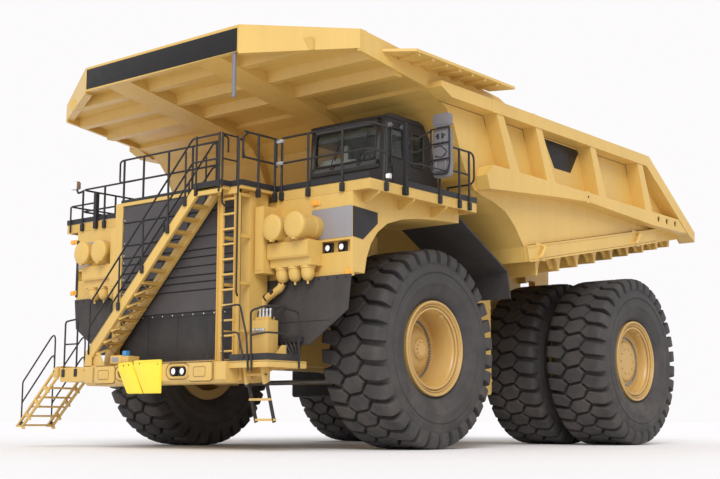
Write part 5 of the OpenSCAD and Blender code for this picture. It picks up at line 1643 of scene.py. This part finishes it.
@dataclass
class Studio:
    """The photograph's camera, a pale floor and soft light."""

    eye: Point = (18.217, -19.805, 0.567)
    yaw: float = 39.436
    pitch: float = 8.469
    roll: float = 0.09
    focal_px: float = 1216.55
    width_px: float = 720.0
    sensor: float = 36.0
    sun_power: float = 2.05
    sun_spread: float = 35.0
    sun_from: Point = (0.46, -0.66, 0.6)
    sky: tuple[float, ...] = (1.0, 0.985, 0.998, 1.0)
    sky_light: float = 0.63
    sky_seen: float = 0.35
    floor_radius: float = 600.0

    def build(self) -> None:
        """Sets up the view."""
        scene = bpy.context.scene
        scene.view_settings.view_transform = "Standard"
        self._camera(scene)
        self._world(scene)
        self._floor(scene)
        sun = bpy.data.lights.new("key", "SUN")
        sun.energy = self.sun_power
        sun.angle = math.radians(self.sun_spread)
        key = bpy.data.objects.new("key", sun)
        key.rotation_euler = Vector(self.sun_from).to_track_quat("Z", "Y").to_euler()
        scene.collection.objects.link(key)

    def _camera(self, scene: bpy.types.Scene) -> None:
        """Places the camera that was solved from the photograph."""
        lens = bpy.data.cameras.new("photo_camera")
        lens.sensor_fit = "HORIZONTAL"
        lens.sensor_width = self.sensor
        lens.lens = self.focal_px * self.sensor / self.width_px
        lens.clip_end = 2000.0
        camera = bpy.data.objects.new("photo_camera", lens)
        yaw, pitch = math.radians(self.yaw), math.radians(self.pitch)
        ahead = Vector((-math.sin(yaw) * math.cos(pitch), math.cos(yaw) * math.cos(pitch), math.sin(pitch)))
        right = Vector((math.cos(yaw), math.sin(yaw), 0.0))
        up = right.cross(ahead)
        c, s = math.cos(math.radians(self.roll)), math.sin(math.radians(self.roll))
        right, up = right * c + up * s, up * c - right * s
        turn = Matrix((right, up, -ahead)).transposed().to_4x4()
        turn.translation = Vector(self.eye) + Vector((0, FA, 0))
        camera.matrix_world = turn
        scene.collection.objects.link(camera)
        scene.camera = camera

    def _world(self, scene: bpy.types.Scene) -> None:
        """A white surround, a little dimmer as light than as backdrop."""
        world = bpy.data.worlds.new("studio")
        scene.world = world
        tree = Shader(world)
        seen = tree.node("ShaderNodeLightPath", out="Is Camera Ray")
        for name in ("Is Glossy Ray", "Is Transmission Ray"):
            seen = seen.most(tree.node("ShaderNodeLightPath", out=name))
        strength = seen * self.sky_seen + self.sky_light
        sky = tree.node("ShaderNodeBackground", {}, {"Color": self.sky, "Strength": strength})
        tree.node("ShaderNodeOutputWorld", {}, {"Surface": sky})

    def _floor(self, scene: bpy.types.Scene) -> None:
        """A wide pale floor that keeps the truck's shadow."""
        mesh = bpy.data.meshes.new("floor")
        r = self.floor_radius
        ring = [(r * math.cos(t), r * math.sin(t), 0.0) for t in turns(64)]
        mesh.from_pydata(ring, [], [list(range(64))])
        made = bpy.data.materials.new("floor_pale")
        tree = Shader(made)
        where = tree.node("ShaderNodeTexCoord", out="Object")
        shade = tree.mix(tree.noise(where, 0.4, 3.0), (0.965, 0.955, 0.965, 1.0), (0.985, 0.975, 0.985, 1.0))
        skin = tree.node("ShaderNodeBsdfPrincipled", {}, {"Base Color": shade, "Roughness": 0.7,
                                                          "Specular IOR Level": 0.1})
        tree.node("ShaderNodeOutputMaterial", {}, {"Surface": skin})
        mesh.materials.append(made)
        floor = bpy.data.objects.new("floor", mesh)
        scene.collection.objects.link(floor)


class CadSkin:
    """Finishes for the CAD nodes that stay in view."""

    weld = 0.00005
    edge = 0.008
    edge_angle = 40.0
    sharp = {"cab_glass", "door_glass", "rim_front_left", "rim_front_right", "rims_rear_left",
             "rims_rear_right"}

    def dress(self) -> None:
        """Gives each node its finish and breaks the edges of the plate work."""
        for name, obj in frame["nodes"].items():
            finish = NODE_FINISH.get(name, PAINT)
            obj.data.materials.clear()
            obj.data.materials.append(finish.material())
            weld = obj.modifiers.new("weld", "WELD")
            weld.merge_threshold = self.weld
            if name not in self.sharp:
                edge = obj.modifiers.new("edge", "BEVEL")
                edge.width, edge.segments, edge.limit_method = self.edge, 2, "ANGLE"
                edge.angle_limit = math.radians(self.edge_angle)
            LOG.info("%s takes %s", name, finish.name)


def main() -> None:
    """Builds the studio, the finishes and every sub-assembly in turn."""
    logging.basicConfig(level=logging.INFO, format="%(name)s: %(message)s")
    Studio().build()
    CadSkin().dress()
    sides = (("left", 1.0), ("right", -1.0))
    wheels = [TyreSet("tyre_front_" + n, "front_wheel_" + n, [(s * FRONT_TRACK, 0.0)]) for n, s in sides]
    wheels += [TyreSet("tyres_rear_" + n, "rear_wheels_" + n, [(s * x, REAR_AXLE) for x in REAR_TRACKS])
               for n, s in sides]
    rims = [RimTrim("rim_front_" + n, "front_wheel_" + n, s, 0.0, flange_x=3.87, disc_x=3.287, bolt_r=0.605,
                    bolts=60, cap_x=3.537, cap_r=0.15) for n, s in sides]
    rims += [RimTrim("rims_rear_" + n, "rear_wheels_" + n, s, REAR_AXLE, flange_x=4.623, disc_x=4.35,
                     bolt_r=0.56, bolts=60, cap_x=4.395, cap_r=0.30) for n, s in sides]
    for part in [*wheels, *rims, Handrails(), Stair(), CentreLadder(), LowerPlatform(), BoardingLadder(),
                 BumperTrim(), Lamps(), FrontModules(), GrilleTrim(), Mirrors(), Cab(), BedTrim(),
                 Underbody()]:
        LOG.info("building %s", type(part).__name__)
        part.build()


if __name__ == "__main__":
    main()
